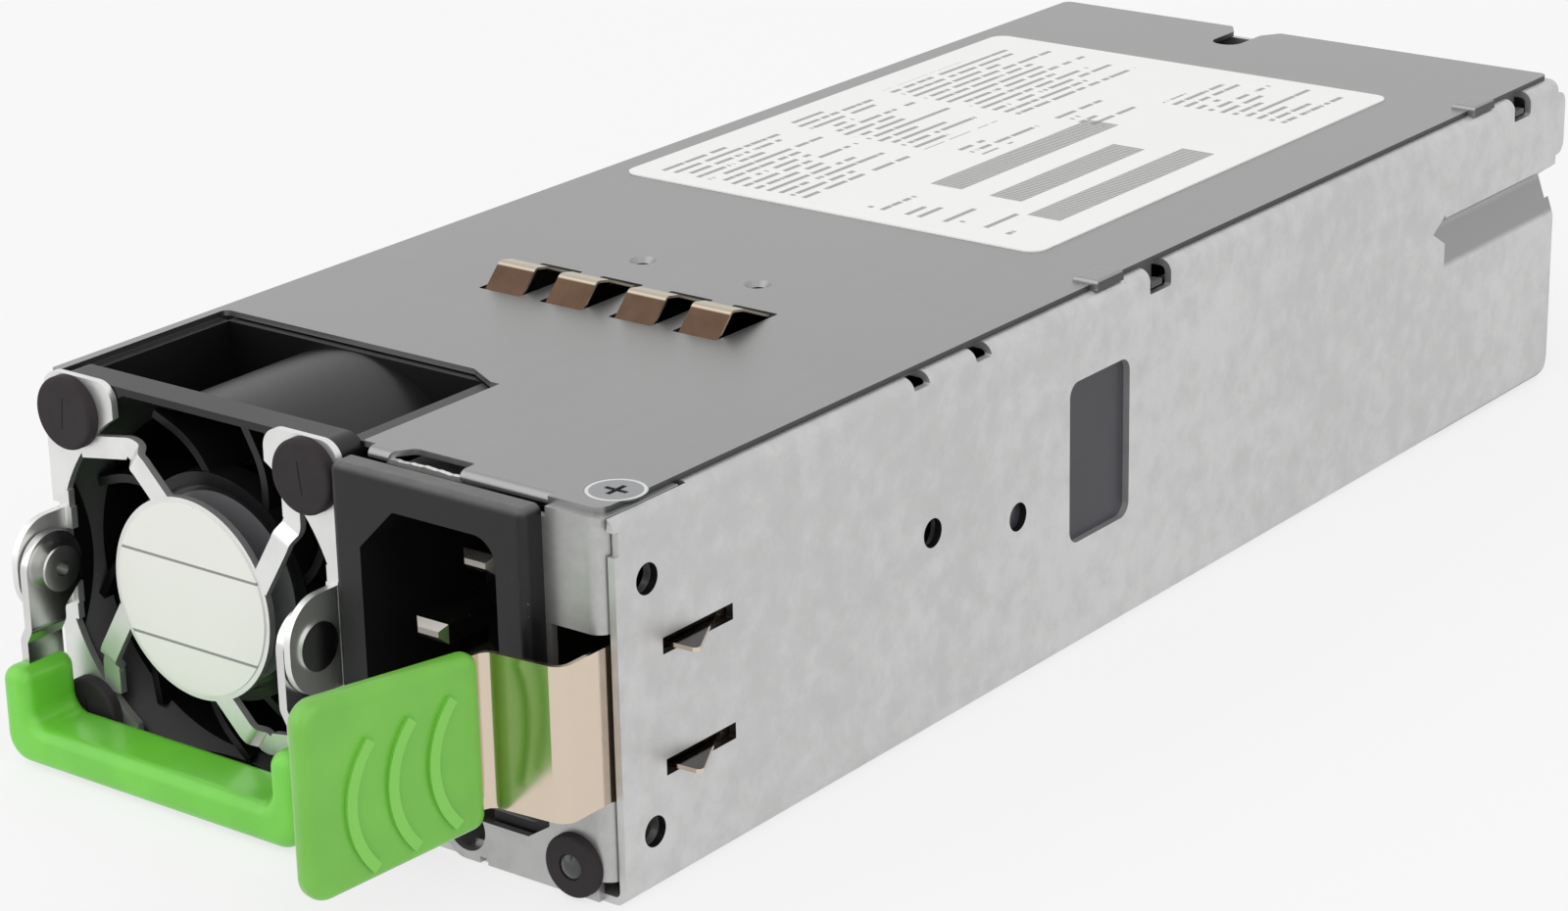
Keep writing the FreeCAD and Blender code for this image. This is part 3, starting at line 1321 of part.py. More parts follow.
def signal_bars():
    """Small signal pins beside the blades, in two rows."""
    x0 = left + connector_left + 4.0 + power_blade_count * power_blade_pitch + 0.6
    y1 = rear_wall + case_sheet
    pins = []
    for k in range(signal_columns):
        for z in (board_top + 3.0, board_top + connector_height - 3.6):
            pins.append(box(x0 + k * signal_pitch, x0 + k * signal_pitch + 0.6, y1 - 10, y1 - 1.6, z, z + 0.6))
    return pins


def guide_pin():
    """Brass guide pin: a base fixed in the rear wall and a thinner free end with a dome."""
    x, z = guide_pin_x, guide_pin_height
    shoulder = case_length + guide_pin_shoulder
    end = case_length + guide_pin_reach - guide_pin_radius
    base = rod(guide_pin_base_radius, (x, rear_wall - guide_pin_tail, z), (x, shoulder, z))
    free_end = rod(guide_pin_radius, (x, shoulder - 0.1, z), (x, end, z))
    dome = Part.makeSphere(guide_pin_radius, V(x, end, z))
    collar = rod(guide_pin_base_radius + 0.5, (x, rear_wall - 2, z), (x, rear_wall, z))
    return fused([base, free_end, dome, collar])


def block_limits(place):
    """Corners in plan and the height of a component, from its shares of the board and the space."""
    u0, u1, v0, v1, rise = place
    x0, y0 = on_board(u0, v0)
    x1, y1 = on_board(u1, v1)
    return x0, x1, y0, y1, rise * inner_height


def standing(place, radius=0.8):
    """Block component that stands on the board."""
    x0, x1, y0, y1, height = block_limits(place)
    block = box(x0, x1, y0, y1, board_top, board_top + height)
    return filleted(block, radius, lambda e: e.BoundBox.ZLength > height * 0.9)


def heat_sink(place, fins, sheet=1.0):
    """Comb heat sink: a foot plate and upright fins along the air path."""
    x0, x1, y0, y1, height = block_limits(place)
    foot = box(x0, x1, y0, y1, board_top, board_top + 2 * sheet)
    pitch = (x1 - x0 - sheet) / (fins - 1)
    blades = [box(x0 + k * pitch, x0 + k * pitch + sheet, y0, y1, board_top + sheet, board_top + height)
              for k in range(fins)]
    return fused([foot] + blades)


def ring_core(place):
    """Toroidal choke that lies on the board."""
    u, v, share = place
    x, y = on_board(u, v)
    radius = share * board_width
    core = Part.makeTorus(radius * 0.66, radius * 0.34, V(x, y, board_top + radius * 0.34), V(0, 0, 1))
    seat = Part.makeCylinder(radius * 0.5, radius * 0.13, V(x, y, board_top))
    return fused([core, seat])


def bulk_capacitor():
    """Large capacitor lying along the board, on a saddle."""
    x0, x1, y0, y1, height = block_limits(bulk_capacitor_place)
    seat = 0.6
    x, r = (x0 + x1) / 2, min(x1 - x0, height - seat) / 2
    z = board_top + r + seat
    can = rod(r, (x, y0, z), (x, y1, z))
    can = filleted(can, 1.2, lambda e: e.BoundBox.YLength < 0.01)
    saddle = box(x - r / 2, x + r / 2, y0 + 4, y1 - 4, board_top, z - r * 0.84)
    return fused([can, saddle])


def transformer():
    """Main transformer: winding bobbin between ferrite halves."""
    x0, x1, y0, y1, height = block_limits(transformer_place)
    core = standing(transformer_place, 1.0)
    wall = height * 0.16
    opening = box(x0 - 1, x1 + 1, y0 + 5, y1 - 5, board_top + wall, board_top + height - wall)
    winding = box(x0 + 2, x1 - 2, y0 + 3, y1 - 3, board_top, board_top + height * 0.88)
    winding = filleted(winding, 3.0, lambda e: e.BoundBox.ZLength > height / 2)
    return fused([core.cut(opening), winding])


def output_capacitors():
    """Row of output capacitors before the connector."""
    u0, u1, v, rise = output_capacitor_row
    (x0, y), (x1, y) = on_board(u0, v), on_board(u1, v)
    pitch = (x1 - x0) / output_capacitor_count
    top = board_top + rise * inner_height
    cans = []
    for k in range(output_capacitor_count):
        x = x0 + (k + 0.5) * pitch
        can = rod(pitch * 0.43, (x, y, board_top), (x, y, top))
        cans.append(filleted(can, 0.5, lambda e: e.BoundBox.ZMin > top - 0.5))
    return Part.makeCompound(cans)


def fan_plug():
    """Plug of the fan's lead, on the board."""
    return standing(fan_plug_place, 0.5)


def fan_lead():
    """Flat lead from the fan's rear face to its plug."""
    x0, x1, y0, y1, height = block_limits(fan_plug_place)
    z = board_top + height * 0.7
    return box(x0 + 1.7, x1 - 1.6, fan_rear, y0, z - 0.6, z + 0.6)


def parts():
    """Every node and its shape."""
    live, neutral, earth = [pin(*place) for place in pin_places()]
    nodes = {
        "chassis": chassis(),
        "top_cover": top_cover(),
        "cover_screw": cover_screw(),
        "rating_label": rating_label(),
        "front_plate": front_plate(),
        "led_grommet": led_grommet(),
        "status_light": status_light(),
        "inlet_housing": inlet_housing(),
        "live_pin": live,
        "neutral_pin": neutral,
        "earth_pin": earth,
        "fan_frame": fan_frame(),
        "fan_rotor": fan_rotor(),
        "fan_shaft": fan_shaft(),
        "fan_bearing": fan_bearing(),
        "fan_coil": fan_coil(),
        "fan_rivets": fan_rivets(),
        "fan_guard": fan_guard(),
        "guard_label": guard_label(),
        "handle_bail": handle_bail(),
        "handle_grip": handle_grip(),
        "handle_rivets": handle_rivets(),
        "latch_spring": latch_spring(),
        "latch_tab": latch_tab(),
        "latch_bracket": latch_bracket(),
        "latch_rivets": latch_rivets(),
        "contact_spring": contact_spring(),
        "insulator_sheet": insulator(),
        "main_board": main_board(),
        "standoffs": standoffs(),
        "board_screws": board_screws(),
        "rear_connector": rear_connector(),
        "power_blades": Part.makeCompound(blade_bars()),
        "signal_pins": Part.makeCompound(signal_bars()),
        "guide_pin": guide_pin(),
        "bulk_capacitor": bulk_capacitor(),
        "transformer": transformer(),
        "output_capacitors": output_capacitors(),
        "primary_heat_sink": heat_sink(primary_sink_place, 6),
        "output_heat_sink": heat_sink(output_sink_place, 7),
        "filter_capacitor": standing(filter_capacitor_place),
        "relay": standing(relay_place),
        "fuse": standing(fuse_place, 0.5),
        "control_board": standing(control_board_place, 0.4),
        "fan_plug": fan_plug(),
        "fan_lead": fan_lead(),
        "filter_choke": ring_core(filter_choke_place),
        "boost_choke": ring_core(boost_choke_place),
    }
    return nodes


def main():
    """Write each node to its own file."""
    os.makedirs("parts", exist_ok=True)
    for name, shape in parts().items():
        state = "" if shape.isValid() else "  NOT VALID"
        print(f"{name}: {len(shape.Solids)} solids, {shape.Volume:.1f} mm3{state}")
        shape.exportStep(f"parts/{name}.step")


main()
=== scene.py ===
# %% [markdown]
# # Dressing a hot swap power supply
# The real object is a slim sheet metal box that slides into a server. Its front carries a
# 40 mm fan behind a stamped guard, a mains inlet turned on its side, a folding pull handle
# and a sprung latch, and a comb of contact fingers rises through its cover.
# The solid model arrives as a fixed frame. Everything here adds finish to it: a camera, a
# soft studio, one material for each real finish, and a few thin trims that are quicker to
# make as surfaces than as solids.

# %% Load the frame
import math

import bpy
import numpy as np
from mathutils import Matrix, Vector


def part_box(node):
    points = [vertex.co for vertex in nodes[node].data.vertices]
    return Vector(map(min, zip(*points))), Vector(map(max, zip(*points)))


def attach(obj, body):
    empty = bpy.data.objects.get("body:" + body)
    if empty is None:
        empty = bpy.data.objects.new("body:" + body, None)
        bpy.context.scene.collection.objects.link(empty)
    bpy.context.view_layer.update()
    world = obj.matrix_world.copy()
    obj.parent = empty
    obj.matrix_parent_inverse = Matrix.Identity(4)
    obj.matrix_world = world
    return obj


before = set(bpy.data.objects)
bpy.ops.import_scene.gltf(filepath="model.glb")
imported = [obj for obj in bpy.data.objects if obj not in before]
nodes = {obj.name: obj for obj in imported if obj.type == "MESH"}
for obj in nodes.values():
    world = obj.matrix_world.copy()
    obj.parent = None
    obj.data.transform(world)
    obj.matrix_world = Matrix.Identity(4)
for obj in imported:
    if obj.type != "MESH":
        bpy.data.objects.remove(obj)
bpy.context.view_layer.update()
MM = 0.001


# %% [markdown]
# ## The camera
# The supply is seen from its front right corner and a little above, through a long lens, so
# the far end shrinks only slightly. A camera could be aimed with a constraint, but three
# angles are easier to check: azimuth round the object, elevation above the floor, and roll
# about the line of sight.

# %% Camera
EYE = np.array([254.25, -256.35, 167.23]) * MM
AZIMUTH, ELEVATION, ROLL = (math.radians(a) for a in (37.664, 20.041, -1.221))
LENS, SENSOR = 91.64, 36.0
NEAR_CLIP = 10 * MM


def camera_axes(azimuth, elevation, roll):
    """Right, up and back directions: the level pair for the azimuth, tipped down by the
    elevation, then turned about the line of sight by the roll."""
    forward = np.array([-math.sin(azimuth) * math.cos(elevation),
                        math.cos(azimuth) * math.cos(elevation), -math.sin(elevation)])
    level = np.array([math.cos(azimuth), math.sin(azimuth), 0.0])
    upright = np.cross(level, forward)
    right = level * math.cos(roll) + upright * math.sin(roll)
    return right, np.cross(right, forward), -forward


def pose_matrix(axes, place):
    """A matrix whose columns are three axes and a place."""
    pose = np.eye(4)
    pose[:3, :3] = np.array(axes).T
    pose[:3, 3] = place
    return Matrix(pose.tolist())


camera = bpy.data.objects.new("camera", bpy.data.cameras.new("camera"))
bpy.context.scene.collection.objects.link(camera)
camera.data.lens = LENS
camera.data.sensor_width = SENSOR
camera.data.clip_start = NEAR_CLIP
view = camera_axes(AZIMUTH, ELEVATION, ROLL)
camera.matrix_world = pose_matrix(view, EYE)
bpy.context.scene.camera = camera
print("camera looks along", np.round(-view[2], 3))

# %% [markdown]
# ## Shader maths as plain expressions
# A material is a graph of nodes, but most of what it works out is arithmetic. Math nodes
# could be placed and joined one at a time. A small class that holds one socket and
# overloads Python's operators is shorter to read: it turns `1 - mask * 0.3` into two nodes.

# %% A socket that does arithmetic


class Wire:
    """One output socket that takes part in arithmetic; each operator adds a Math node."""

    def __init__(self, graph, socket):
        self.graph = graph
        self.socket = socket

    def maths(self, operation, *values):
        """A Math node of that operation on the values, in order."""
        settings = {"operation": operation}
        return self.graph.node("ShaderNodeMath", settings, dict(enumerate(values)))

    def __add__(self, other):
        return self.maths("ADD", self, other)

    __radd__ = __add__

    def __sub__(self, other):
        return self.maths("SUBTRACT", self, other)

    def __rsub__(self, other):
        return self.maths("SUBTRACT", other, self)

    def __mul__(self, other):
        return self.maths("MULTIPLY", self, other)

    __rmul__ = __mul__

    def __truediv__(self, other):
        return self.maths("DIVIDE", self, other)

    def __pow__(self, other):
        return self.maths("POWER", self, other)

    def __gt__(self, other):
        return self.maths("GREATER_THAN", self, other)

    def __lt__(self, other):
        return self.maths("LESS_THAN", self, other)

    def __abs__(self):
        return self.maths("ABSOLUTE", self)

    def larger(self, other):
        """The larger of two values."""
        return self.maths("MAXIMUM", self, other)

    def sine(self):
        """The sine of the value in radians."""
        return self.maths("SINE", self)

    def part(self):
        """The fraction left over after whole numbers."""
        return self.maths("FRACT", self)

    def whole(self):
        """The whole number below."""
        return self.maths("FLOOR", self)

    def between(self, low, high):
        """1 where the value lies between two limits, else 0."""
        return (self > low) * (self < high)

    def ease(self, low, high):
        """0 at low, 1 at high, with a smooth step between; low may be the greater."""
        sockets = {"Value": self, "From Min": low, "From Max": high}
        return self.graph.node("ShaderNodeMapRange", {"interpolation_type": "SMOOTHSTEP"}, sockets)


def together(masks):
    """One mask out of several that don't overlap: their sum."""
    first, *rest = masks
    return sum(rest, first)


print("arithmetic ready")

# %% [markdown]
# ## One method for every other node
# Noise, cells, mixes and bumps aren't arithmetic. Each could have its own helper, but one
# method that takes a node's type, its settings and its sockets makes any of them. A finish
# is such a graph with one Principled shader at its end, and it reads Object coordinates,
# which every piece here shares with the solid model.

# %% Graphs and finishes


class Graph:
    """A tree of nodes, built by naming nodes and wiring them."""

    def __init__(self, tree):
        self.tree = tree

    def feed(self, node, sockets):
        """Sets each named or numbered input socket to a value, or links a wire into it."""
        for key, value in sockets.items():
            if isinstance(value, Wire):
                self.tree.links.new(value.socket, node.inputs[key])
            else:
                node.inputs[key].default_value = value

    def node(self, kind, settings=None, sockets=None, out=0):
        """Adds a node: its settings first, then the values or wires of its sockets."""
        made = self.tree.nodes.new(kind)
        for key, value in (settings or {}).items():
            setattr(made, key, value)
        self.feed(made, sockets or {})
        return Wire(self, made.outputs[out])

    def parts(self, vector):
        """X, Y and Z of a vector, each on a wire of its own."""
        outputs = self.node("ShaderNodeSeparateXYZ", sockets={"Vector": vector}).socket.node.outputs
        return [Wire(self, outputs[i]) for i in range(3)]


class Finish(Graph):
    """A material with one Principled shader at the end of its graph."""

    def __init__(self, name, colour, roughness, metallic=0.0, **constants):
        self.material = bpy.data.materials.new(name)
        self.material.use_nodes = True
        self.material.diffuse_color = (*colour, 1.0)
        super().__init__(self.material.node_tree)
        self.shader = self.tree.nodes["Principled BSDF"]
        self.set(Base_Color=(*colour, 1.0), Roughness=roughness, Metallic=metallic, **constants)

    def set(self, **sockets):
        """Values or wires for the shader's sockets, with _ for each space in a name."""
        self.feed(self.shader, {key.replace("_", " "): value for key, value in sockets.items()})
        return self

    def place(self, scale=(1.0, 1.0, 1.0)):
        """Object coordinates in metres, stretched along the axes."""
        where = self.node("ShaderNodeTexCoord", out="Object")
        if scale == (1.0, 1.0, 1.0):
            return where
        return self.node("ShaderNodeMapping", sockets={"Vector": where, "Scale": scale})

    def axes(self):
        """X, Y and Z of the Object coordinates, in metres."""
        return self.parts(self.place())

    def facing(self):
        """X, Y and Z of the way the surface faces."""
        return self.parts(self.node("ShaderNodeNewGeometry", out="Normal"))

    def noise(self, size, detail=3.0, roughness=0.55, scale=(1.0, 1.0, 1.0)):
        """Noise whose features are about size metres across."""
        sockets = {"Vector": self.place(scale), "Scale": 1 / size, "Detail": detail,
                   "Roughness": roughness}
        return self.node("ShaderNodeTexNoise", sockets=sockets, out="Fac")

    def cells(self, size, out="Distance"):
        """Voronoi cells about size metres across."""
        sockets = {"Vector": self.place(), "Scale": 1 / size}
        return self.node("ShaderNodeTexVoronoi", sockets=sockets, out=out)

    def mix(self, factor, first, second):
        """A colour between two colours, each three numbers or a wire."""
        first, second = ((*c, 1.0) if isinstance(c, tuple) else c for c in (first, second))
        sockets = {0: factor, 6: first, 7: second}
        return self.node("ShaderNodeMix", {"data_type": "RGBA"}, sockets, 2)

    def bump(self, height, distance, strength=1.0):
        """Tilts the shading by a height, whose full range stands for distance metres."""
        sockets = {"Height": height, "Distance": distance, "Strength": strength}
        return self.set(Normal=self.node("ShaderNodeBump", sockets=sockets, out="Normal"))


def toned(colour, factor):
    """A colour made lighter or darker by a factor, up to full white."""
    return tuple(min(c * factor, 1.0) for c in colour)


print("finishes ready")

# %% [markdown]
# ## Marks of the press, and painted shade in them
# The right wall carries what the press left on it: a bead stamped in at its rear end, four
# round holes, and two slots for the latch's teeth. The bead's long lower slope gets painted
# shade, and the holes and slots, with the case's inside behind them, are painted dark as
# shade. A mask could be painted by hand, but these places are known in millimetres, so
# each mask is worked out from Object coordinates.

# %% Bead and holes in the right wall
# In BEAD_DEPTH, dull to dullest means from no painted shade to the most.
BEAD_DEPTH = (0.03, 0.35)                   # mm inwards from the wall, dull to dullest
BEAD_REACH = 2.4                            # mm inwards, past which lies the inside
BEAD_FRONT = (32.0, 30.0)                   # mm before the rear end, where the bead starts
BEAD_TOP = 9.0                              # mm below the case's top
BEAD_SLOPE = (11.5, 13.0)                   # mm below the top, where the lower slope starts
WALL_HOLES = ((4.5, 31.7), (4.5, 6.2), (49.7, 21.7), (65.0, 18.6))      # along Y, height, mm
HOLE_RADIUS = 1.56
TOOTH_SLOTS = (24.3, 12.0)                  # heights of their middles, mm
SLOT_FROM, SLOT_TO, SLOT_HALF = 6.48, 17.02, 0.84
RIGHT_SIDE = 25.0                           # only what lies right of this X is masked


def bead_shade(skin):
    """How much painted shade the bead gets: none on the flat wall, most on the bead's long
    lower slope."""
    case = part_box("chassis")[1]
    x, y, z = skin.axes()
    inwards = (case.x - x) / MM
    along = ((case.y - y) / MM).ease(*BEAD_FRONT)
    drop = (case.z - z) / MM
    depth = inwards.ease(*BEAD_DEPTH) * (inwards < BEAD_REACH)
    return depth * along * (drop > BEAD_TOP) * (drop.ease(*BEAD_SLOPE) * 0.6 + 0.4)


def hole_shade(skin):
    """1 inside the wall's holes and slots, on their cut walls and on the case's inside behind
    them, where painted shade goes: a hole is where dy^2 + dz^2 is less than its radius squared."""
    x, y, z = (v / MM for v in skin.axes())
    offsets = [(y - along, z - height) for along, height in WALL_HOLES]
    holes = [(dy * dy + dz * dz) < HOLE_RADIUS ** 2 for dy, dz in offsets]
    slots = [y.between(SLOT_FROM, SLOT_TO) * z.between(height - SLOT_HALF, height + SLOT_HALF)
             for height in TOOTH_SLOTS]
    return together(holes + slots) * (x > RIGHT_SIDE)


print("press marks:", len(WALL_HOLES), "holes,", len(TOOTH_SLOTS), "slots and a bead")

# %% [markdown]
# ## Sheet metal
# Three sheets meet on this object. The case and the front plate are galvanised: a pale,
# slightly cloudy zinc skin with faint crystals and a few dark specks. The cover is a
# smoother, darker sheet with the fine grain of rolling. The guard and the handle's bail are
# bright plated steel. A picture of metal wrapped round the box would carry its own
# lighting, so each skin is built from noise at the sizes of the real features instead.

# %% Galvanised, rolled and plated sheet
ZINC_METALLIC, COVER_METALLIC = 0.82, 0.85
# The dark of the painted shade in the wall's holes and slots.
HOLE_SHADE_COLOUR = (0.035, 0.034, 0.034)
# Painted shade on the cover's right edge starts this far below its top.
EDGE_SHADE_DEPTH = 0.18 * MM                     # below the cover's top, where its edge goes dark


def galvanised(name, colour, roughness, size=5.0 * MM, worked=False):
    """Zinc skin: clouds of two sizes lighten and darken it by a few percent, small cells
    give faint crystals, and sparse specks go dark. Worked sheet also gets painted shade on
    the bead and in the holes and slots."""
    skin = Finish(name, colour, roughness, ZINC_METALLIC)
    clouds = skin.noise(size * 5, 3.0) * 0.4 + skin.noise(size * 0.6, 5.0, 0.65) * 0.6
    crystals = skin.cells(size * 0.5, out="Color")
    crystal = skin.node("ShaderNodeSeparateColor", sockets={"Color": crystals})
    specks = skin.noise(0.45 * MM, 2.0).ease(0.70, 0.78) * skin.noise(6 * MM).ease(0.45, 0.62)
    grain = skin.noise(0.25 * MM, 2.0)
    tone = clouds.ease(0.37, 0.63) * 0.66 + crystal * 0.12 + grain * 0.22
    base = skin.mix(tone, toned(colour, 0.86), toned(colour, 1.06))
    if worked:
        # Painted shade on the bead's long lower slope.
        base = skin.mix(bead_shade(skin), base, toned(colour, 0.52))
        # Painted shade in the holes and slots and on the case's inside behind them.
        base = skin.mix(hole_shade(skin), base, HOLE_SHADE_COLOUR)
    skin.set(Base_Color=skin.mix(specks * 0.35, base, toned(colour, 0.45)))
    skin.set(Roughness=roughness - 0.05 + clouds * 0.07 + grain * 0.06)
    return skin.bump(grain * 0.6 + crystal * 0.4, 0.006 * MM, 0.5)


def rolled(name, colour, roughness):
    """Smooth sheet: long streaks along the rolling direction and a very fine tooth. Painted
    shade darkens its right edge, all but a thin line along the top."""
    skin = Finish(name, colour, roughness, COVER_METALLIC)
    streaks = skin.noise(1.6 * MM, 3.0, 0.6, (1.0, 0.06, 1.0))
    clouds = skin.noise(26 * MM, 2.0)
    tooth = skin.noise(0.16 * MM, 2.0)
    tone = streaks * 0.18 + clouds * 0.32 + tooth * 0.5
    sheet = skin.mix(tone.ease(0.35, 0.65), toned(colour, 0.955), toned(colour, 1.035))
    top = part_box("top_cover")[1].z
    x, y, z = skin.axes()
    # Painted shade on faces that look along +X, below the thin line at the top.
    edge_shade = skin.facing()[0].ease(0.75, 0.95) * (z < top - EDGE_SHADE_DEPTH)
    skin.set(Base_Color=skin.mix(edge_shade, sheet, toned(colour, 0.25)))
    skin.set(Roughness=roughness - 0.03 + streaks * 0.02 + clouds * 0.04)
    return skin.bump(tooth, 0.004 * MM, 0.5)


def plated(name, colour, roughness, wear=0.3, metallic=1.0):
    """Bright plating: soft clouds in the gloss and hairline wipes."""
    skin = Finish(name, colour, roughness, metallic)
    wipes = skin.noise(0.5 * MM, 2.0, 0.6, (1.0, 1.0, 0.08))
    clouds = skin.noise(4 * MM, 3.0)
    worn = toned(colour, 1 - wear * 0.25)
    skin.set(Base_Color=skin.mix(clouds.ease(0.3, 0.7), worn, colour))
    skin.set(Roughness=roughness + wipes * 0.08 + clouds * 0.08 * wear)
    return skin.bump(wipes, 0.0015 * MM, 0.25)


case_metal = galvanised("case_galvanised", (0.61, 0.607, 0.606), 0.42, worked=True)
# The front plate's zinc is darker than the case's: painted shade on its front face.
shaded_plate_metal = galvanised("plate_galvanised", (0.47, 0.47, 0.465), 0.38, 3.5 * MM)
cover_metal = rolled("cover_rolled", (0.318, 0.319, 0.317), 0.36)
guard_metal = plated("guard_plating", (0.80, 0.80, 0.79), 0.34, 0.3, 0.85)
bail_metal = plated("bail_plating", (0.70, 0.70, 0.69), 0.17)
steel_metal = plated("turned_steel", (0.55, 0.55, 0.56), 0.28)
pin_metal = plated("pin_nickel", (0.34, 0.325, 0.295), 0.20)
brass_metal = plated("brass", (0.70, 0.52, 0.22), 0.2)
print("metals made:", len(bpy.data.materials))

# %% [markdown]
# ## Small metal parts marked in one place
# Three parts change in one place. The latch's teeth are grey where the wall scrapes them,
# the contact fingers carry a painted highlight along their crests and on their right faces,
# and the screw's head a painted highlight along the ring rolled round its rim. Each could be
# two materials on one mesh, but then the border would follow the mesh's edges, so one
# material changes with the distance from the marked place.

# %% Latch strip, contact fingers and screw head
TOOTH_INWARDS, TOOTH_BACK = -2.2, 5.0       # mm from the wall, and behind the case's front
LEVEL_FACE = 0.7                            # of the normal's Z, up or down
CREST_DEPTH = 0.35 * MM
SCREW_RING = (0.86, 0.97)                   # shares of the head's radius


def latch_nickel():
    """Warm nickel strip. Where its teeth pass through the wall, the faces that look up or
    down are rubbed to a darker grey, and the rest stays bright."""
    colour = (0.70, 0.59, 0.48)
    skin = plated("latch_nickel", colour, 0.09, 0.2)
    x, y, z = skin.axes()
    tooth = ((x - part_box("chassis")[1].x) / MM > TOOTH_INWARDS) * (y / MM > TOOTH_BACK)
    rubbed = tooth * (abs(skin.facing()[2]) > LEVEL_FACE)
    plain = skin.mix(skin.noise(3 * MM, 3.0), toned(colour, 0.96), colour)
    return skin.set(Base_Color=skin.mix(rubbed, plain, (0.12, 0.112, 0.105)))


def finger_bronze():
    """Bronze strip, brown on its slopes, with a painted highlight along the crests and on
    faces that look along +X.
    """
    skin = plated("finger_bronze", (0.09, 0.055, 0.036), 0.24, 0.8)
    x, y, z = skin.axes()
    # Painted highlight along the crests and on faces that look along +X.
    crest = (z - (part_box("contact_spring")[1].z - CREST_DEPTH)) / MM
    edge = skin.facing()[0].ease(0.8, 0.95)
    brown = skin.mix(skin.noise(2.5 * MM, 3.0), (0.065, 0.038, 0.024), (0.12, 0.075, 0.05))
    bright = crest.ease(-0.05, 0.15).larger(edge)
    return skin.set(Base_Color=skin.mix(bright, brown, (0.50, 0.44, 0.35)))


def screw_head():
    """Zinc head: satin, with a painted highlight as a ring where the distance from its middle,
    as a share of its radius, is between two limits."""
    skin = plated("screw_zinc", (0.36, 0.37, 0.375), 0.34, 0.5)
    low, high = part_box("cover_screw")
    x, y, z = skin.axes()
    dx, dy = x - (low.x + high.x) / 2, y - (low.y + high.y) / 2
    # Painted highlight: a bright ring near the head's rim.
    rim = ((dx * dx + dy * dy) ** 0.5 / ((high.x - low.x) / 2)).between(*SCREW_RING)
    return skin.set(Base_Color=skin.mix(rim, (0.33, 0.34, 0.345), (0.72, 0.73, 0.74)))


latch_metal, bronze_metal, screw_metal = latch_nickel(), finger_bronze(), screw_head()
print("metals made:", len(bpy.data.materials))

# %% [markdown]
# ## Mouldings
# Moulded plastic copies its tool. The inlet has a spark eroded texture that scatters light,
# the fan is smoother, and the green touch points are polished with a slight orange peel.
# Black plastic shows dust before anything else. Dust could be scattered as tiny meshes, but
# a few pale specks cost nothing and look the same. Faces that look up get a lighter bloom,
# part fine dust and part painted sheen.

# %% Plastics
DUST_PALE, BLOOM_DUST_AND_SHEEN = (0.35, 0.34, 0.33), (0.20, 0.192, 0.19)
ORANGE_PEEL = {"roughness": 0.36, "texture": 1.8 * MM, "depth": 0.012 * MM,
               "Coat_Weight": 0.30, "Coat_Roughness": 0.14}


def moulded(name, colour, roughness, texture=0.12 * MM, depth=0.006 * MM, dust=0.0, bloom=0.0,
            **constants):
    """Moulded plastic: the tool's fine texture in the bump, a little unevenness in the gloss,
    optional pale dust specks, and an optional lighter bloom on faces that look up, part fine
    dust and part painted sheen."""
    skin = Finish(name, colour, roughness, **constants)
    grain = skin.noise(texture, 2.0, 0.6)
    flow = skin.noise(9 * MM, 2.0)
    base = skin.mix(flow.ease(0.3, 0.7), toned(colour, 0.92), toned(colour, 1.06))
    if dust:
        specks = skin.noise(0.22 * MM, 1.0).ease(0.745, 0.80) * skin.noise(3 * MM).ease(0.5, 0.7)
        base = skin.mix(specks * dust, base, DUST_PALE)
    if bloom:
        # Faces that look up get lighter: part fine dust, part painted sheen.
        dust_and_sheen = skin.facing()[2].ease(0.25, 0.95) * (skin.noise(1.2 * MM, 3.0) * 0.5 + 0.5)
        base = skin.mix(dust_and_sheen * bloom, base, BLOOM_DUST_AND_SHEEN)
    skin.set(Base_Color=base, Roughness=roughness - 0.04 + grain * 0.06 + flow * 0.04)
    return skin.bump(grain, depth, 0.5)


inlet_plastic = moulded("inlet_black", (0.0095, 0.009, 0.0102), 0.36, dust=0.5, bloom=0.75,
                        Specular_IOR_Level=0.34)
fan_plastic = moulded("fan_black", (0.0062, 0.0058, 0.0068), 0.34, 0.3 * MM, 0.004 * MM,
                      dust=0.3, bloom=0.02, Specular_IOR_Level=0.36)
touch_green = moulded("touch_green", (0.162, 0.62, 0.046), **ORANGE_PEEL)
insulation = moulded("insulating_film", (0.040, 0.037, 0.046), 0.32, 0.5 * MM, 0.003 * MM,
                     Specular_IOR_Level=0.36)
connector_black = moulded("connector_black", (0.02, 0.02, 0.021), 0.4)
sleeve_dark = moulded("sleeve_dark", (0.02, 0.022, 0.045), 0.25, 0.6 * MM, 0.003 * MM)
case_yellow = moulded("component_yellow", (0.60, 0.42, 0.05), 0.35)
ferrite_grey = moulded("ferrite_grey", (0.055, 0.055, 0.058), 0.55, 0.25 * MM, 0.015 * MM)
plug_ivory = moulded("plug_ivory", (0.62, 0.58, 0.48), 0.4)
wire_red = moulded("wire_red", (0.45, 0.02, 0.02), 0.35, 0.4 * MM, 0.003 * MM)
lamp_lens = Finish("lamp_lens", (0.085, 0.085, 0.09), 0.12, Transmission_Weight=0.35, IOR=1.49)
lamp_lens.set(Roughness=lamp_lens.noise(0.8 * MM, 2.0) * 0.12 + 0.08)
print("finishes made:", len(bpy.data.materials))

# %% [markdown]
# ## The latch's tab
# Three raised arcs on the green tab give the thumb its grip, and a painted highlight makes
# them paler than the face round them. The arcs could have a slot of their own, but they are one
# moulding with the tab. The tab's face is flat and stands at a known angle, so whatever
# stands higher than the face along its normal is an arc.

# %% Tab with highlighted arcs
TAB_ANGLE = math.radians(11.0)
ARC_HEIGHT = 0.45 * MM


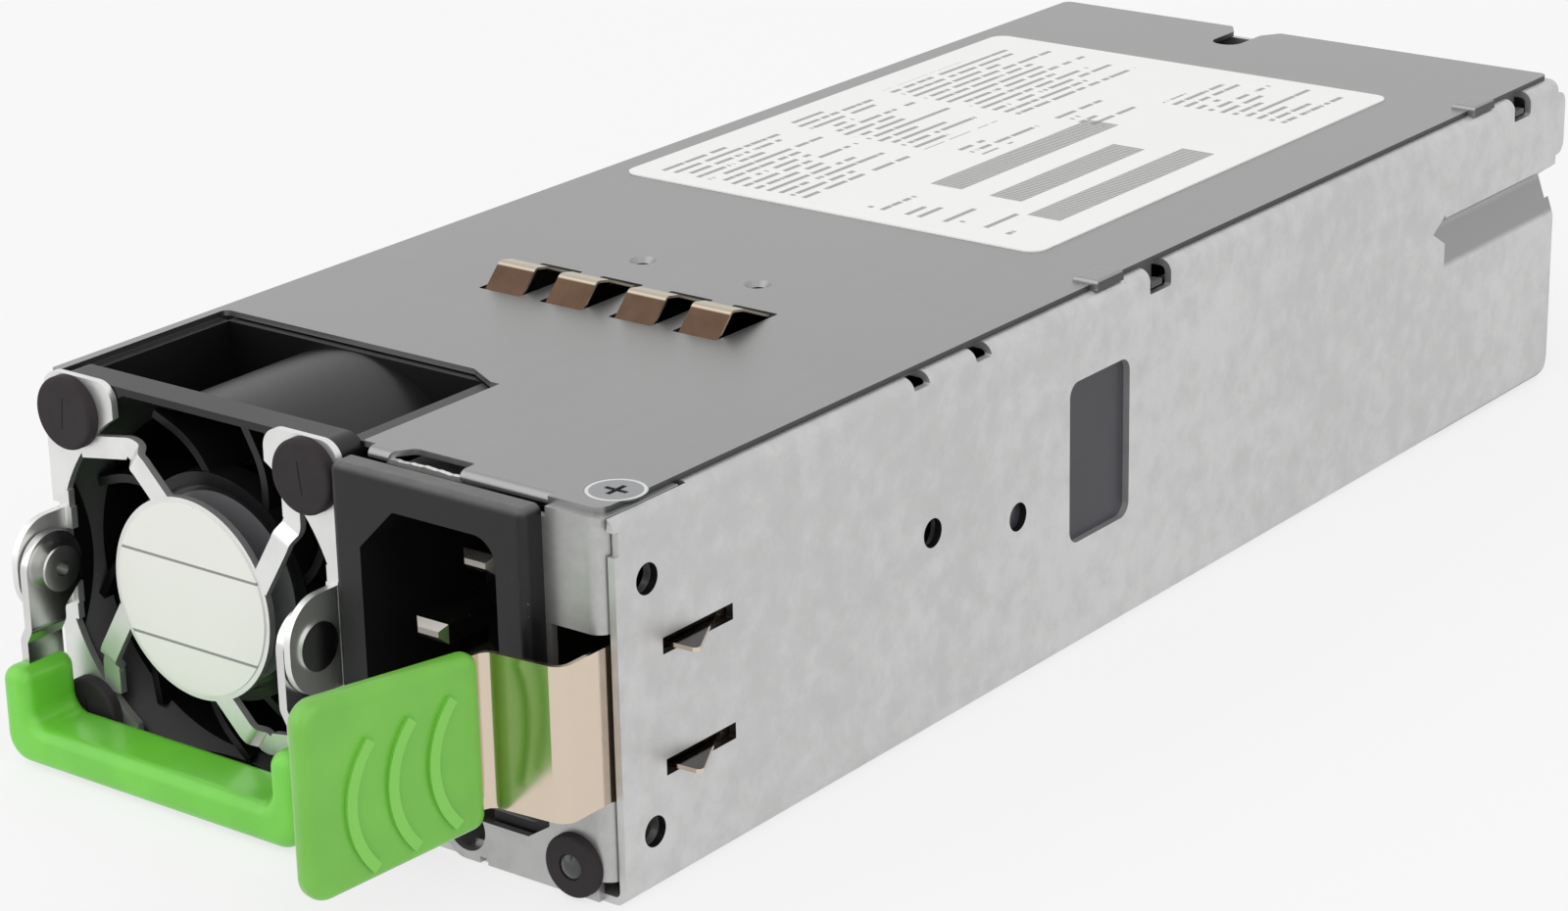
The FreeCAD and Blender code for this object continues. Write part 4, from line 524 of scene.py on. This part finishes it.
def latch_green():
    """The tab's green, slightly duller than the handle's. Height above its broad face is
    x cos(angle) - y sin(angle), less the face's own; where that is positive, a painted
    highlight makes it paler."""
    colour = (0.165, 0.50, 0.050)
    skin = moulded("latch_green", colour, **ORANGE_PEEL)
    mesh = nodes["latch_tab"].data
    corners = np.empty(len(mesh.vertices) * 3)
    mesh.vertices.foreach_get("co", corners)
    reach = corners.reshape(-1, 3)[:, :2] @ [math.cos(TAB_ANGLE), -math.sin(TAB_ANGLE)]
    face = reach.max() - ARC_HEIGHT
    print("tab's broad face lies", round(face / MM, 2), "mm out along its normal")
    x, y, z = skin.axes()
    height = (x * math.cos(TAB_ANGLE) - y * math.sin(TAB_ANGLE) - face) / MM
    flow = skin.noise(9 * MM, 2.0)
    plain = skin.mix(flow.ease(0.3, 0.7), toned(colour, 0.94), toned(colour, 1.05))
    # Painted highlight on the raised arcs.
    return skin.set(Base_Color=skin.mix(height.ease(0.05, 0.2), plain, (0.21, 0.585, 0.078)))


latch_green_plastic = latch_green()

# %% [markdown]
# ## Rubber
# The light's grommet and the four push rivets of the fan are the same dull rubber. A fine
# slit crosses each rivet's head, where its pin was pushed in. It is too fine to cut into the
# solid, so it is a dark line of painted shade. The four heads lie evenly about the fan's
# middle, so distances from that middle, taken without their sign, draw all four slits at once.

# %% Rubber, plain and slit
RUBBER = {"colour": (0.026, 0.0205, 0.0235), "roughness": 0.74, "texture": 0.2 * MM,
          "depth": 0.02 * MM, "dust": 0.4, "Specular_IOR_Level": 0.30}
RIVET_HEAD = 3.85                           # radius, mm
SLIT_LEAN, SLIT_HALF_LENGTH = 0.12, 1.7
SLIT_EDGE = (0.16, 0.06)                    # mm from the slit's line, plain to dark


def slit_rubber():
    """The rivets' rubber: painted shade for the slit, dark where the distance from a line
    through the head's middle, which leans by a fixed slope, is small and the distance along
    it is below a limit."""
    skin = moulded("rivet_rubber", **RUBBER)
    low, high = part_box("fan_rivets")
    x, y, z = skin.axes()
    across = (x - (low.x + high.x) / 2) / MM
    upright = (z - (low.z + high.z) / 2) / MM
    dx = abs(across) - (high.x - low.x) / 2 / MM + RIVET_HEAD
    dz = abs(upright) - (high.z - low.z) / 2 / MM + RIVET_HEAD
    # Painted shade for the slit.
    slit = abs(dx + dz * SLIT_LEAN).ease(*SLIT_EDGE) * (abs(dz) < SLIT_HALF_LENGTH)
    plain = skin.mix(skin.noise(2 * MM, 3.0), (0.022, 0.0175, 0.020), (0.034, 0.028, 0.031))
    return skin.set(Base_Color=skin.mix(slit, plain, (0.004, 0.003, 0.003)))


rubber, rivet_rubber = moulded("rubber_dark", **RUBBER), slit_rubber()
print("finishes made:", len(bpy.data.materials))

# %% [markdown]
# ## Inside the case
# Little of the inside shows, only what the vents, the window and the fan let through, so one
# dark material could cover it all. Each part there still gets a finish of its own, for
# whoever hides the cover: a solder mask with traces, extruded aluminium, and enamelled wire.

# %% Board, heat sinks and windings
TRACE_PITCH, TRACE_FILL = 1.3 * MM, 0.3


def circuit_board():
    """Green solder mask: square cells of traces where the fraction of (place / pitch) is
    small, broken by noise, with bright pads at sparse points."""
    skin = Finish("solder_mask", (0.02, 0.12, 0.04), 0.3, Coat_Weight=0.3)
    x, y, z = skin.axes()
    across, along = ((v / TRACE_PITCH).part().between(0.0, TRACE_FILL) for v in (x, y))
    traces = across * (skin.noise(5 * MM) > 0.5) + along * (skin.noise(7 * MM) > 0.52)
    pads = skin.cells(2.4 * MM) < 0.12
    base = skin.mix(traces * 0.6, (0.015, 0.10, 0.03), (0.04, 0.20, 0.06))
    skin.set(Base_Color=skin.mix(pads, base, (0.6, 0.58, 0.52)), Metallic=pads * 0.9)
    return skin.bump(traces * 0.5 + pads, 0.03 * MM, 0.6)


def extruded():
    """Aluminium with drawing lines along the profile."""
    skin = Finish("drawn_aluminium", (0.6, 0.61, 0.62), 0.36, 1.0)
    lines = skin.noise(0.3 * MM, 3.0, 0.6, (1.0, 0.02, 1.0))
    skin.set(Roughness=0.28 + lines * 0.18)
    return skin.bump(lines, 0.01 * MM, 0.5)


def wound():
    """Enamelled copper: fine turns round a core as a wave in the bump and the tone."""
    skin = Finish("enamelled_copper", (0.45, 0.17, 0.06), 0.3, 0.85)
    waves = skin.node("ShaderNodeTexWave", {"wave_type": "BANDS", "bands_direction": "DIAGONAL"},
                      {"Vector": skin.place(), "Scale": 0.16 / MM, "Distortion": 0.6}, "Fac")
    skin.set(Base_Color=skin.mix(waves, (0.24, 0.08, 0.03), (0.55, 0.22, 0.08)))
    return skin.bump(waves, 0.15 * MM, 0.8)


board_mask, sink_metal, copper_wire = circuit_board(), extruded(), wound()
print("inner finishes made:", len(bpy.data.materials))

# %% [markdown]
# ## The two labels
# A rating label lies on the cover and a round one on the guard's disc. Their print isn't
# copied. The rating label gets broken plain rules and three hatched grey bars where the real
# one is printed, and the round one two thin rules across it. An image would do it at once,
# but a pattern worked out in millimetres from the label's corner stays sharp at any size.

# %% Label film
ROW_PITCH, ROW_FILL = 1.7, 0.40             # mm, and the share of a row that is inked
DASH_STRETCH, DASH_GAP = 0.55, 0.43
RULE_BLOCKS = ((3, 24, 3, 25), (27, 43, 3, 24), (46, 73, 4, 25), (29, 42, 27, 31),
               (47, 56, 28, 36), (60, 74, 36, 54), (4, 10, 32, 52))     # from, to, left, right
RAGGED, RAGGED_BACK = 5.0, 4.0              # a row's end wanders by this, set back by that
BARS = ((15.6, 48.6, 32.8), (15.2, 41.1, 41.2), (11.3, 44.0, 49.0))     # from, to, left
BAR_WIDTH, HATCH_PITCH, HATCH_FILL = 4.4, 0.55, 0.80
DISC_RULES = ((3.6, 3.9), (-5.3, -5.0))     # mm above the disc's middle


def film(name):
    """White printed film: faint mottling, a soft gloss and a tiny ripple."""
    skin = Finish(name, (0.80, 0.81, 0.78), 0.32, Coat_Weight=0.15, Coat_Roughness=0.25)
    return skin, skin.noise(14 * MM, 2.0), skin.noise(1.2 * MM, 2.0)


def rating_film():
    """Broken rules in rows along the label's length, in blocks of different reach, and
    hatched bars. A rule shows where the fraction of (distance across / row pitch) is small,
    and noise drawn out along the rows breaks it into short plain dashes."""
    skin, clouds, ripple = film("rating_film")
    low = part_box("rating_label")[0]
    x, y, z = skin.axes()
    across, along = (x - low.x) / MM, (y - low.y) / MM
    row = across / ROW_PITCH
    drawn_out = {0: row.whole() * 7.3, 1: along * DASH_STRETCH}
    sockets = {"Vector": skin.node("ShaderNodeCombineXYZ", sockets=drawn_out), "Scale": 1.0,
               "Detail": 2.0}
    dashes = skin.node("ShaderNodeTexNoise", sockets=sockets, out="Fac") > DASH_GAP
    rows = row.part().between(0.0, ROW_FILL) * dashes
    wander = (row.whole() * 2.3).sine() * RAGGED
    ink = together([rows * across.between(left, right) * (along > start)
                    * (along < wander + (end - RAGGED_BACK))
                    for start, end, left, right in RULE_BLOCKS])
    bars = together([across.between(left, left + BAR_WIDTH) * along.between(start, end)
                     for start, end, left in BARS])
    bars = bars * ((along / HATCH_PITCH).part() < HATCH_FILL)
    base = skin.mix(clouds, (0.93, 0.93, 0.91), (0.96, 0.96, 0.945))
    base = skin.mix(ink * 0.8, base, (0.13, 0.13, 0.13))
    skin.set(Base_Color=skin.mix(bars * 0.85, base, (0.09, 0.087, 0.087)))
    skin.set(Roughness=0.28 + ripple * 0.08)
    return skin.bump(ripple, 0.01 * MM, 0.3)


def disc_film():
    """Two thin rules, one above and one below the middle."""
    skin, clouds, ripple = film("disc_film")
    low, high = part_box("guard_label")
    x, y, z = skin.axes()
    height = (z - (low.z + high.z) / 2) / MM
    rules = together([height.between(*limits) for limits in DISC_RULES])
    base = skin.mix(clouds, (0.80, 0.80, 0.75), (0.86, 0.86, 0.815))
    skin.set(Base_Color=skin.mix(rules * 0.8, base, (0.12, 0.12, 0.12)))
    skin.set(Roughness=0.3 + ripple * 0.08)
    return skin.bump(ripple, 0.01 * MM, 0.3)


rating_skin, disc_skin = rating_film(), disc_film()
print("label films made:", len(RULE_BLOCKS), "blocks of rules and", len(BARS), "bars")

# %% [markdown]
# ## Which node wears which finish
# The model's nodes keep their meshes, and a finish goes on through the material slot. Each
# node could be dressed where its finish is made, but in one table a node that was left out
# shows up at once.

# %% Dress the nodes
WEARS = {
    case_metal: ["chassis", "latch_bracket"],
    shaded_plate_metal: ["front_plate"],
    cover_metal: ["top_cover"],
    guard_metal: ["fan_guard"],
    bail_metal: ["handle_bail", "handle_rivets"],
    latch_metal: ["latch_spring"],
    screw_metal: ["cover_screw"],
    bronze_metal: ["contact_spring"],
    steel_metal: ["fan_shaft", "latch_rivets", "board_screws"],
    pin_metal: ["live_pin", "neutral_pin", "earth_pin"],
    brass_metal: ["guide_pin", "power_blades", "signal_pins", "standoffs", "fan_bearing"],
    inlet_plastic: ["inlet_housing"],
    fan_plastic: ["fan_frame", "fan_rotor"],
    touch_green: ["handle_grip"],
    latch_green_plastic: ["latch_tab"],
    rivet_rubber: ["fan_rivets"],
    rubber: ["led_grommet"],
    insulation: ["insulator_sheet", "fuse"],
    connector_black: ["rear_connector"],
    sleeve_dark: ["bulk_capacitor", "output_capacitors", "relay"],
    case_yellow: ["filter_capacitor"],
    ferrite_grey: ["transformer"],
    plug_ivory: ["fan_plug"],
    wire_red: ["fan_lead"],
    lamp_lens: ["status_light"],
    board_mask: ["main_board", "control_board"],
    sink_metal: ["primary_heat_sink", "output_heat_sink"],
    copper_wire: ["fan_coil", "filter_choke", "boost_choke"],
    rating_skin: ["rating_label"],
    disc_skin: ["guard_label"],
}
for finish, names in WEARS.items():
    for name in names:
        slots = nodes[name].data.materials
        slots.clear()
        slots.append(finish.material)
undressed = sorted(set(nodes) - {n for names in WEARS.values() for n in names})
print("nodes dressed:", sum(map(len, WEARS.values())), "left over:", undressed)

# %% [markdown]
# ## Surfaces from two parameters
# The new pieces are surfaces: a grid of points worked out as whole arrays from two
# parameters, and then stitched into quads. Blender's own primitives could be moved and
# scaled instead, but then a shape's sizes would hide in its transform.

# %% Grid helpers


def stitched(name, points, skin, closed=True):
    """Stitches a grid of points, shape (rows, columns, 3), into quads, with the last column
    joined to the first where it is closed."""
    rows, columns = points.shape[:2]
    index = np.arange(rows * columns).reshape(rows, columns)
    if closed:
        index = np.hstack([index, index[:, :1]])
    corners = [index[:-1, :-1], index[:-1, 1:], index[1:, 1:], index[1:, :-1]]
    faces = np.stack([c.ravel() for c in corners], axis=1)
    mesh = bpy.data.meshes.new(name)
    mesh.from_pydata(points.reshape(-1, 3).tolist(), [], faces.tolist())
    mesh.materials.append(skin.material)
    made = bpy.data.objects.new(name, mesh)
    bpy.context.scene.collection.objects.link(made)
    print(name, len(faces), "faces")
    return made


def bar_points(places, corners):
    """A bar with four corners at each place along X: rings of (x, y, z), with a ring drawn
    together to its middle at each end, which closes the bar. places holds each corner's X,
    corners its Y and Z; the order is front top, rear top, rear bottom, front bottom."""
    rings = np.stack([np.stack([x, y, z], axis=-1) for x, (y, z) in zip(places, corners)], axis=1)
    first, last = (np.repeat(rings[i].mean(axis=0)[None, None], 4, axis=1) for i in (0, -1))
    return np.concatenate([first, rings, last])


def sharp_bar(name, points):
    """A bar of the guard's plated steel with flat faces, on the case."""
    bar = stitched(name, points, guard_metal)
    bar.data.shade_flat()
    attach(bar, "case")


print("surface helpers ready")

# %% [markdown]
# ## The sticker on the fan's hub
# On the real fan a grey sticker with a dark ring covers the bearing. A flat circle would do
# from far off, but a film's edge catches the light, so it is a shallow disc of revolution
# whose edge is turned down.

# %% Hub sticker
STICKER_EDGE = 2.09 * MM                    # Y of its edge, 0.01 mm before the hub's face
STICKER_PROFILE = ((0, -0.04), (4, -0.04), (9.9, -0.035), (10.35, -0.015), (10.5, 0.0))
RING_RADII = (10.0, 11.0)                   # mm, as the profile's radii and depths


def sticker_skin():
    """Grey film with a dark ring round its edge, by distance from the axis."""
    skin = Finish("hub_sticker_film", (0.09, 0.09, 0.095), 0.3, Coat_Weight=0.2)
    x, y, z = skin.axes()
    dx, dz = x - fan_axis[0], z - fan_axis[2]
    ring = ((dx * dx + dz * dz) ** 0.5 / MM).between(*RING_RADII)
    clouds = skin.noise(5 * MM, 2.0)
    base = skin.mix(clouds, (0.17, 0.17, 0.185), (0.21, 0.21, 0.225))
    skin.set(Base_Color=skin.mix(ring, base, (0.010, 0.010, 0.011)))
    return skin.set(Roughness=0.25 + clouds * 0.15)


def disc_of_revolution(centre, profile, sides=72):
    """Points (x0 + r cos t, y0 + d, z0 + r sin t) for a profile of radii r and depths d."""
    t = np.linspace(0, 2 * np.pi, sides, endpoint=False)
    r, d = profile[:, 0][:, None], profile[:, 1][:, None]
    x, z = centre[0] + r * np.cos(t), centre[2] + r * np.sin(t)
    return np.stack([x, np.broadcast_to(centre[1] + d, x.shape), z], axis=-1)


shaft_low, shaft_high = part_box("fan_shaft")
fan_axis = np.array([(shaft_low.x + shaft_high.x) / 2, 0.0, (shaft_low.z + shaft_high.z) / 2])
sticker_points = disc_of_revolution(fan_axis + [0, STICKER_EDGE, 0],
                                    np.array(STICKER_PROFILE) * MM)
hub_sticker = stitched("hub_sticker", sticker_points, sticker_skin())
hub_sticker.data.shade_smooth()
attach(hub_sticker, "case")

# %% [markdown]
# ## The strip left in the cover's lip
# Where a window is cut out of the cover's bent front lip, the shear leaves a thin strip of
# metal across it, and its upper edge is a little ragged. A bevelled box could stand for it,
# but its edge would be too straight, so it is a closed section carried along X whose height
# wanders.

# %% Lip strip
STRIP_FROM, STRIP_TO = 8.6 * MM, 18.0 * MM
STRIP_FRONT, STRIP_REAR = 0.62 * MM, 1.15 * MM
STRIP_TOP, STRIP_BOTTOM = 38.95 * MM, 38.35 * MM


def strip_points(count=48):
    """A bar whose top falls by 0.1 mm and a sum of three sines, 0.1 mm at most."""
    x = np.linspace(STRIP_FROM, STRIP_TO, count)
    t = np.linspace(0, 1, count)
    wander = 0.05 * np.sin(9 * t) + 0.03 * np.sin(31 * t + 1.0) + 0.02 * np.sin(67 * t + 2.0)
    top, bottom = STRIP_TOP - (0.1 + wander) * MM, np.full(count, STRIP_BOTTOM)
    front, rear = np.full(count, STRIP_FRONT), np.full(count, STRIP_REAR)
    return bar_points([x] * 4, [(front, top), (rear, top), (rear, bottom), (front, bottom)])


sharp_bar("cover_lip_strip", strip_points())

# %% [markdown]
# ## The roots of two guard arms
# The upper left arm and the lower right arm of the guard are flat strips that run into its
# corner tabs. In the solid model they stop short, so each root closes the last few
# millimetres, in the plate's own plane. A root could be a box turned into place, but a bar
# worked out along the arm's own line needs no transform, and the lower one is the upper one
# given a half-turn about the fan's axis.

# %% Arm roots
ARM_END, ARM_BEND = (-0.294, 0.338), (-0.203, 0.353)     # shares of the fan's size
ROOT_INSIDE, ROOT_OUTSIDE = 0.3 * MM, 3.9 * MM
ARM_HALF_WIDTH = 1.15 * MM
PLATE_FRONT, PLATE_REAR = -1.299 * MM, -0.501 * MM


def root_points(side, count=5):
    """A flat bar along the line from the arm's bend through its end, half a width to each
    side of it. side is 1 for the upper left arm and -1 for the lower right arm."""
    low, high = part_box("fan_frame")
    centre = np.array([(low.x + high.x) / 2, (low.z + high.z) / 2])
    end, bend = (side * np.array(share) * (high.z - low.z) for share in (ARM_END, ARM_BEND))
    way = (end - bend) / np.linalg.norm(end - bend)
    t = np.linspace(-ROOT_INSIDE, ROOT_OUTSIDE, count)[::-side]
    middle = centre + end + t[:, None] * way
    across = side * np.array([way[1], -way[0]]) * ARM_HALF_WIDTH
    (top_x, top_z), (bottom_x, bottom_z) = (middle + across).T, (middle - across).T
    front, rear = np.full(count, PLATE_FRONT), np.full(count, PLATE_REAR)
    return bar_points([top_x, top_x, bottom_x, bottom_x],
                      [(front, top_z), (rear, top_z), (rear, bottom_z), (front, bottom_z)])


sharp_bar("guard_root_upper", root_points(1))
sharp_bar("guard_root_lower", root_points(-1))

# %% [markdown]
# ## The studio
# A pale floor, one broad soft lamp from the right, another from the left and an even sky.
# Metal needs something bright to mirror. Brighter lamps would burn out the pale zinc, so the
# floor and the sky are white for the camera and for reflected rays, and softer for the light
# that they cast.

# %% Floor and sky
FLOOR_HALF = 6.0
FLOOR_DROP = 0.05 * MM
FLOOR_WHITE = 0.72
SKY_CAST, SKY_SEEN = 0.63, 0.96


def ray_kinds(graph, *kinds):
    """1 for rays of any of these kinds, else 0."""
    first, *rest = (graph.node("ShaderNodeLightPath", out=f"Is {kind} Ray") for kind in kinds)
    for other in rest:
        first = first.larger(other)
    return first


def studio_floor():
    """A flat square just under the object, with a very slight mottling."""
    skin = Finish("floor_pale", (0.86, 0.86, 0.86), 0.6)
    skin.set(Base_Color=skin.mix(skin.noise(0.3), (0.85, 0.85, 0.85), (0.87, 0.87, 0.87)))
    x, y = np.meshgrid(*[np.linspace(-FLOOR_HALF, FLOOR_HALF, 3)] * 2)
    points = np.stack([x, y, np.full_like(x, -FLOOR_DROP)], axis=-1)
    stitched("floor", points, skin, closed=False)
    return skin


def show_white(skin, amount):
    """Adds a share of plain white to what the camera and metal see of a surface."""
    plain = Wire(skin, skin.shader.outputs[0])
    share = ray_kinds(skin, "Camera", "Glossy") * amount
    both = skin.node("ShaderNodeMixShader",
                     sockets={0: share, 1: plain, 2: skin.node("ShaderNodeEmission")})
    skin.feed(skin.tree.nodes["Material Output"], {"Surface": both})


def sky(cast, seen):
    """World: one strength for the light it casts, another for what camera, metal and glass
    see of it."""
    world = bpy.data.worlds.new("sky")
    bpy.context.scene.world = world
    world.use_nodes = True
    graph = Graph(world.node_tree)
    sockets = {"Value": ray_kinds(graph, "Camera", "Glossy", "Transmission"),
               "To Min": cast, "To Max": seen}
    level = graph.node("ShaderNodeMapRange", sockets=sockets)
    background = graph.tree.nodes["Background"]
    graph.feed(background, {"Strength": level, "Color": (1.0, 1.0, 1.0, 1.0)})


show_white(studio_floor(), FLOOR_WHITE)
sky(SKY_CAST, SKY_SEEN)
print("floor and sky ready")

# %% [markdown]
# ## The lamps
# Two large square lamps stand over a metre away, one on each side. Smaller ones would show
# as hard bright patches on the label and the rear of the cover, so each is two metres wide.

# %% Lamps
LAMP_AIM = (0.0, 0.06, 0.02)
LAMP_SIZE = 2.0
LAMPS = (("lamp_right", (1.1, -0.5, 0.75), 8.0), ("lamp_left", (-0.7, -0.9, 0.9), 9.0))


def soft_lamp(name, place, power):
    """A square area lamp at a place, turned so that its -Z axis points at the aim."""
    data = bpy.data.lights.new(name, "AREA")
    data.shape = "SQUARE"
    data.size = LAMP_SIZE
    data.energy = power
    lamp = bpy.data.objects.new(name, data)
    bpy.context.scene.collection.objects.link(lamp)
    back = np.array(place) - np.array(LAMP_AIM)
    back /= np.linalg.norm(back)
    side = np.cross([0.0, 0.0, 1.0], back)
    side /= np.linalg.norm(side)
    lamp.matrix_world = pose_matrix([side, np.cross(back, side), back], place)


for lamp_name, lamp_place, lamp_power in LAMPS:
    soft_lamp(lamp_name, lamp_place, lamp_power)
bpy.context.scene.view_settings.view_transform = "Standard"
print("lamps ready:", len(LAMPS))
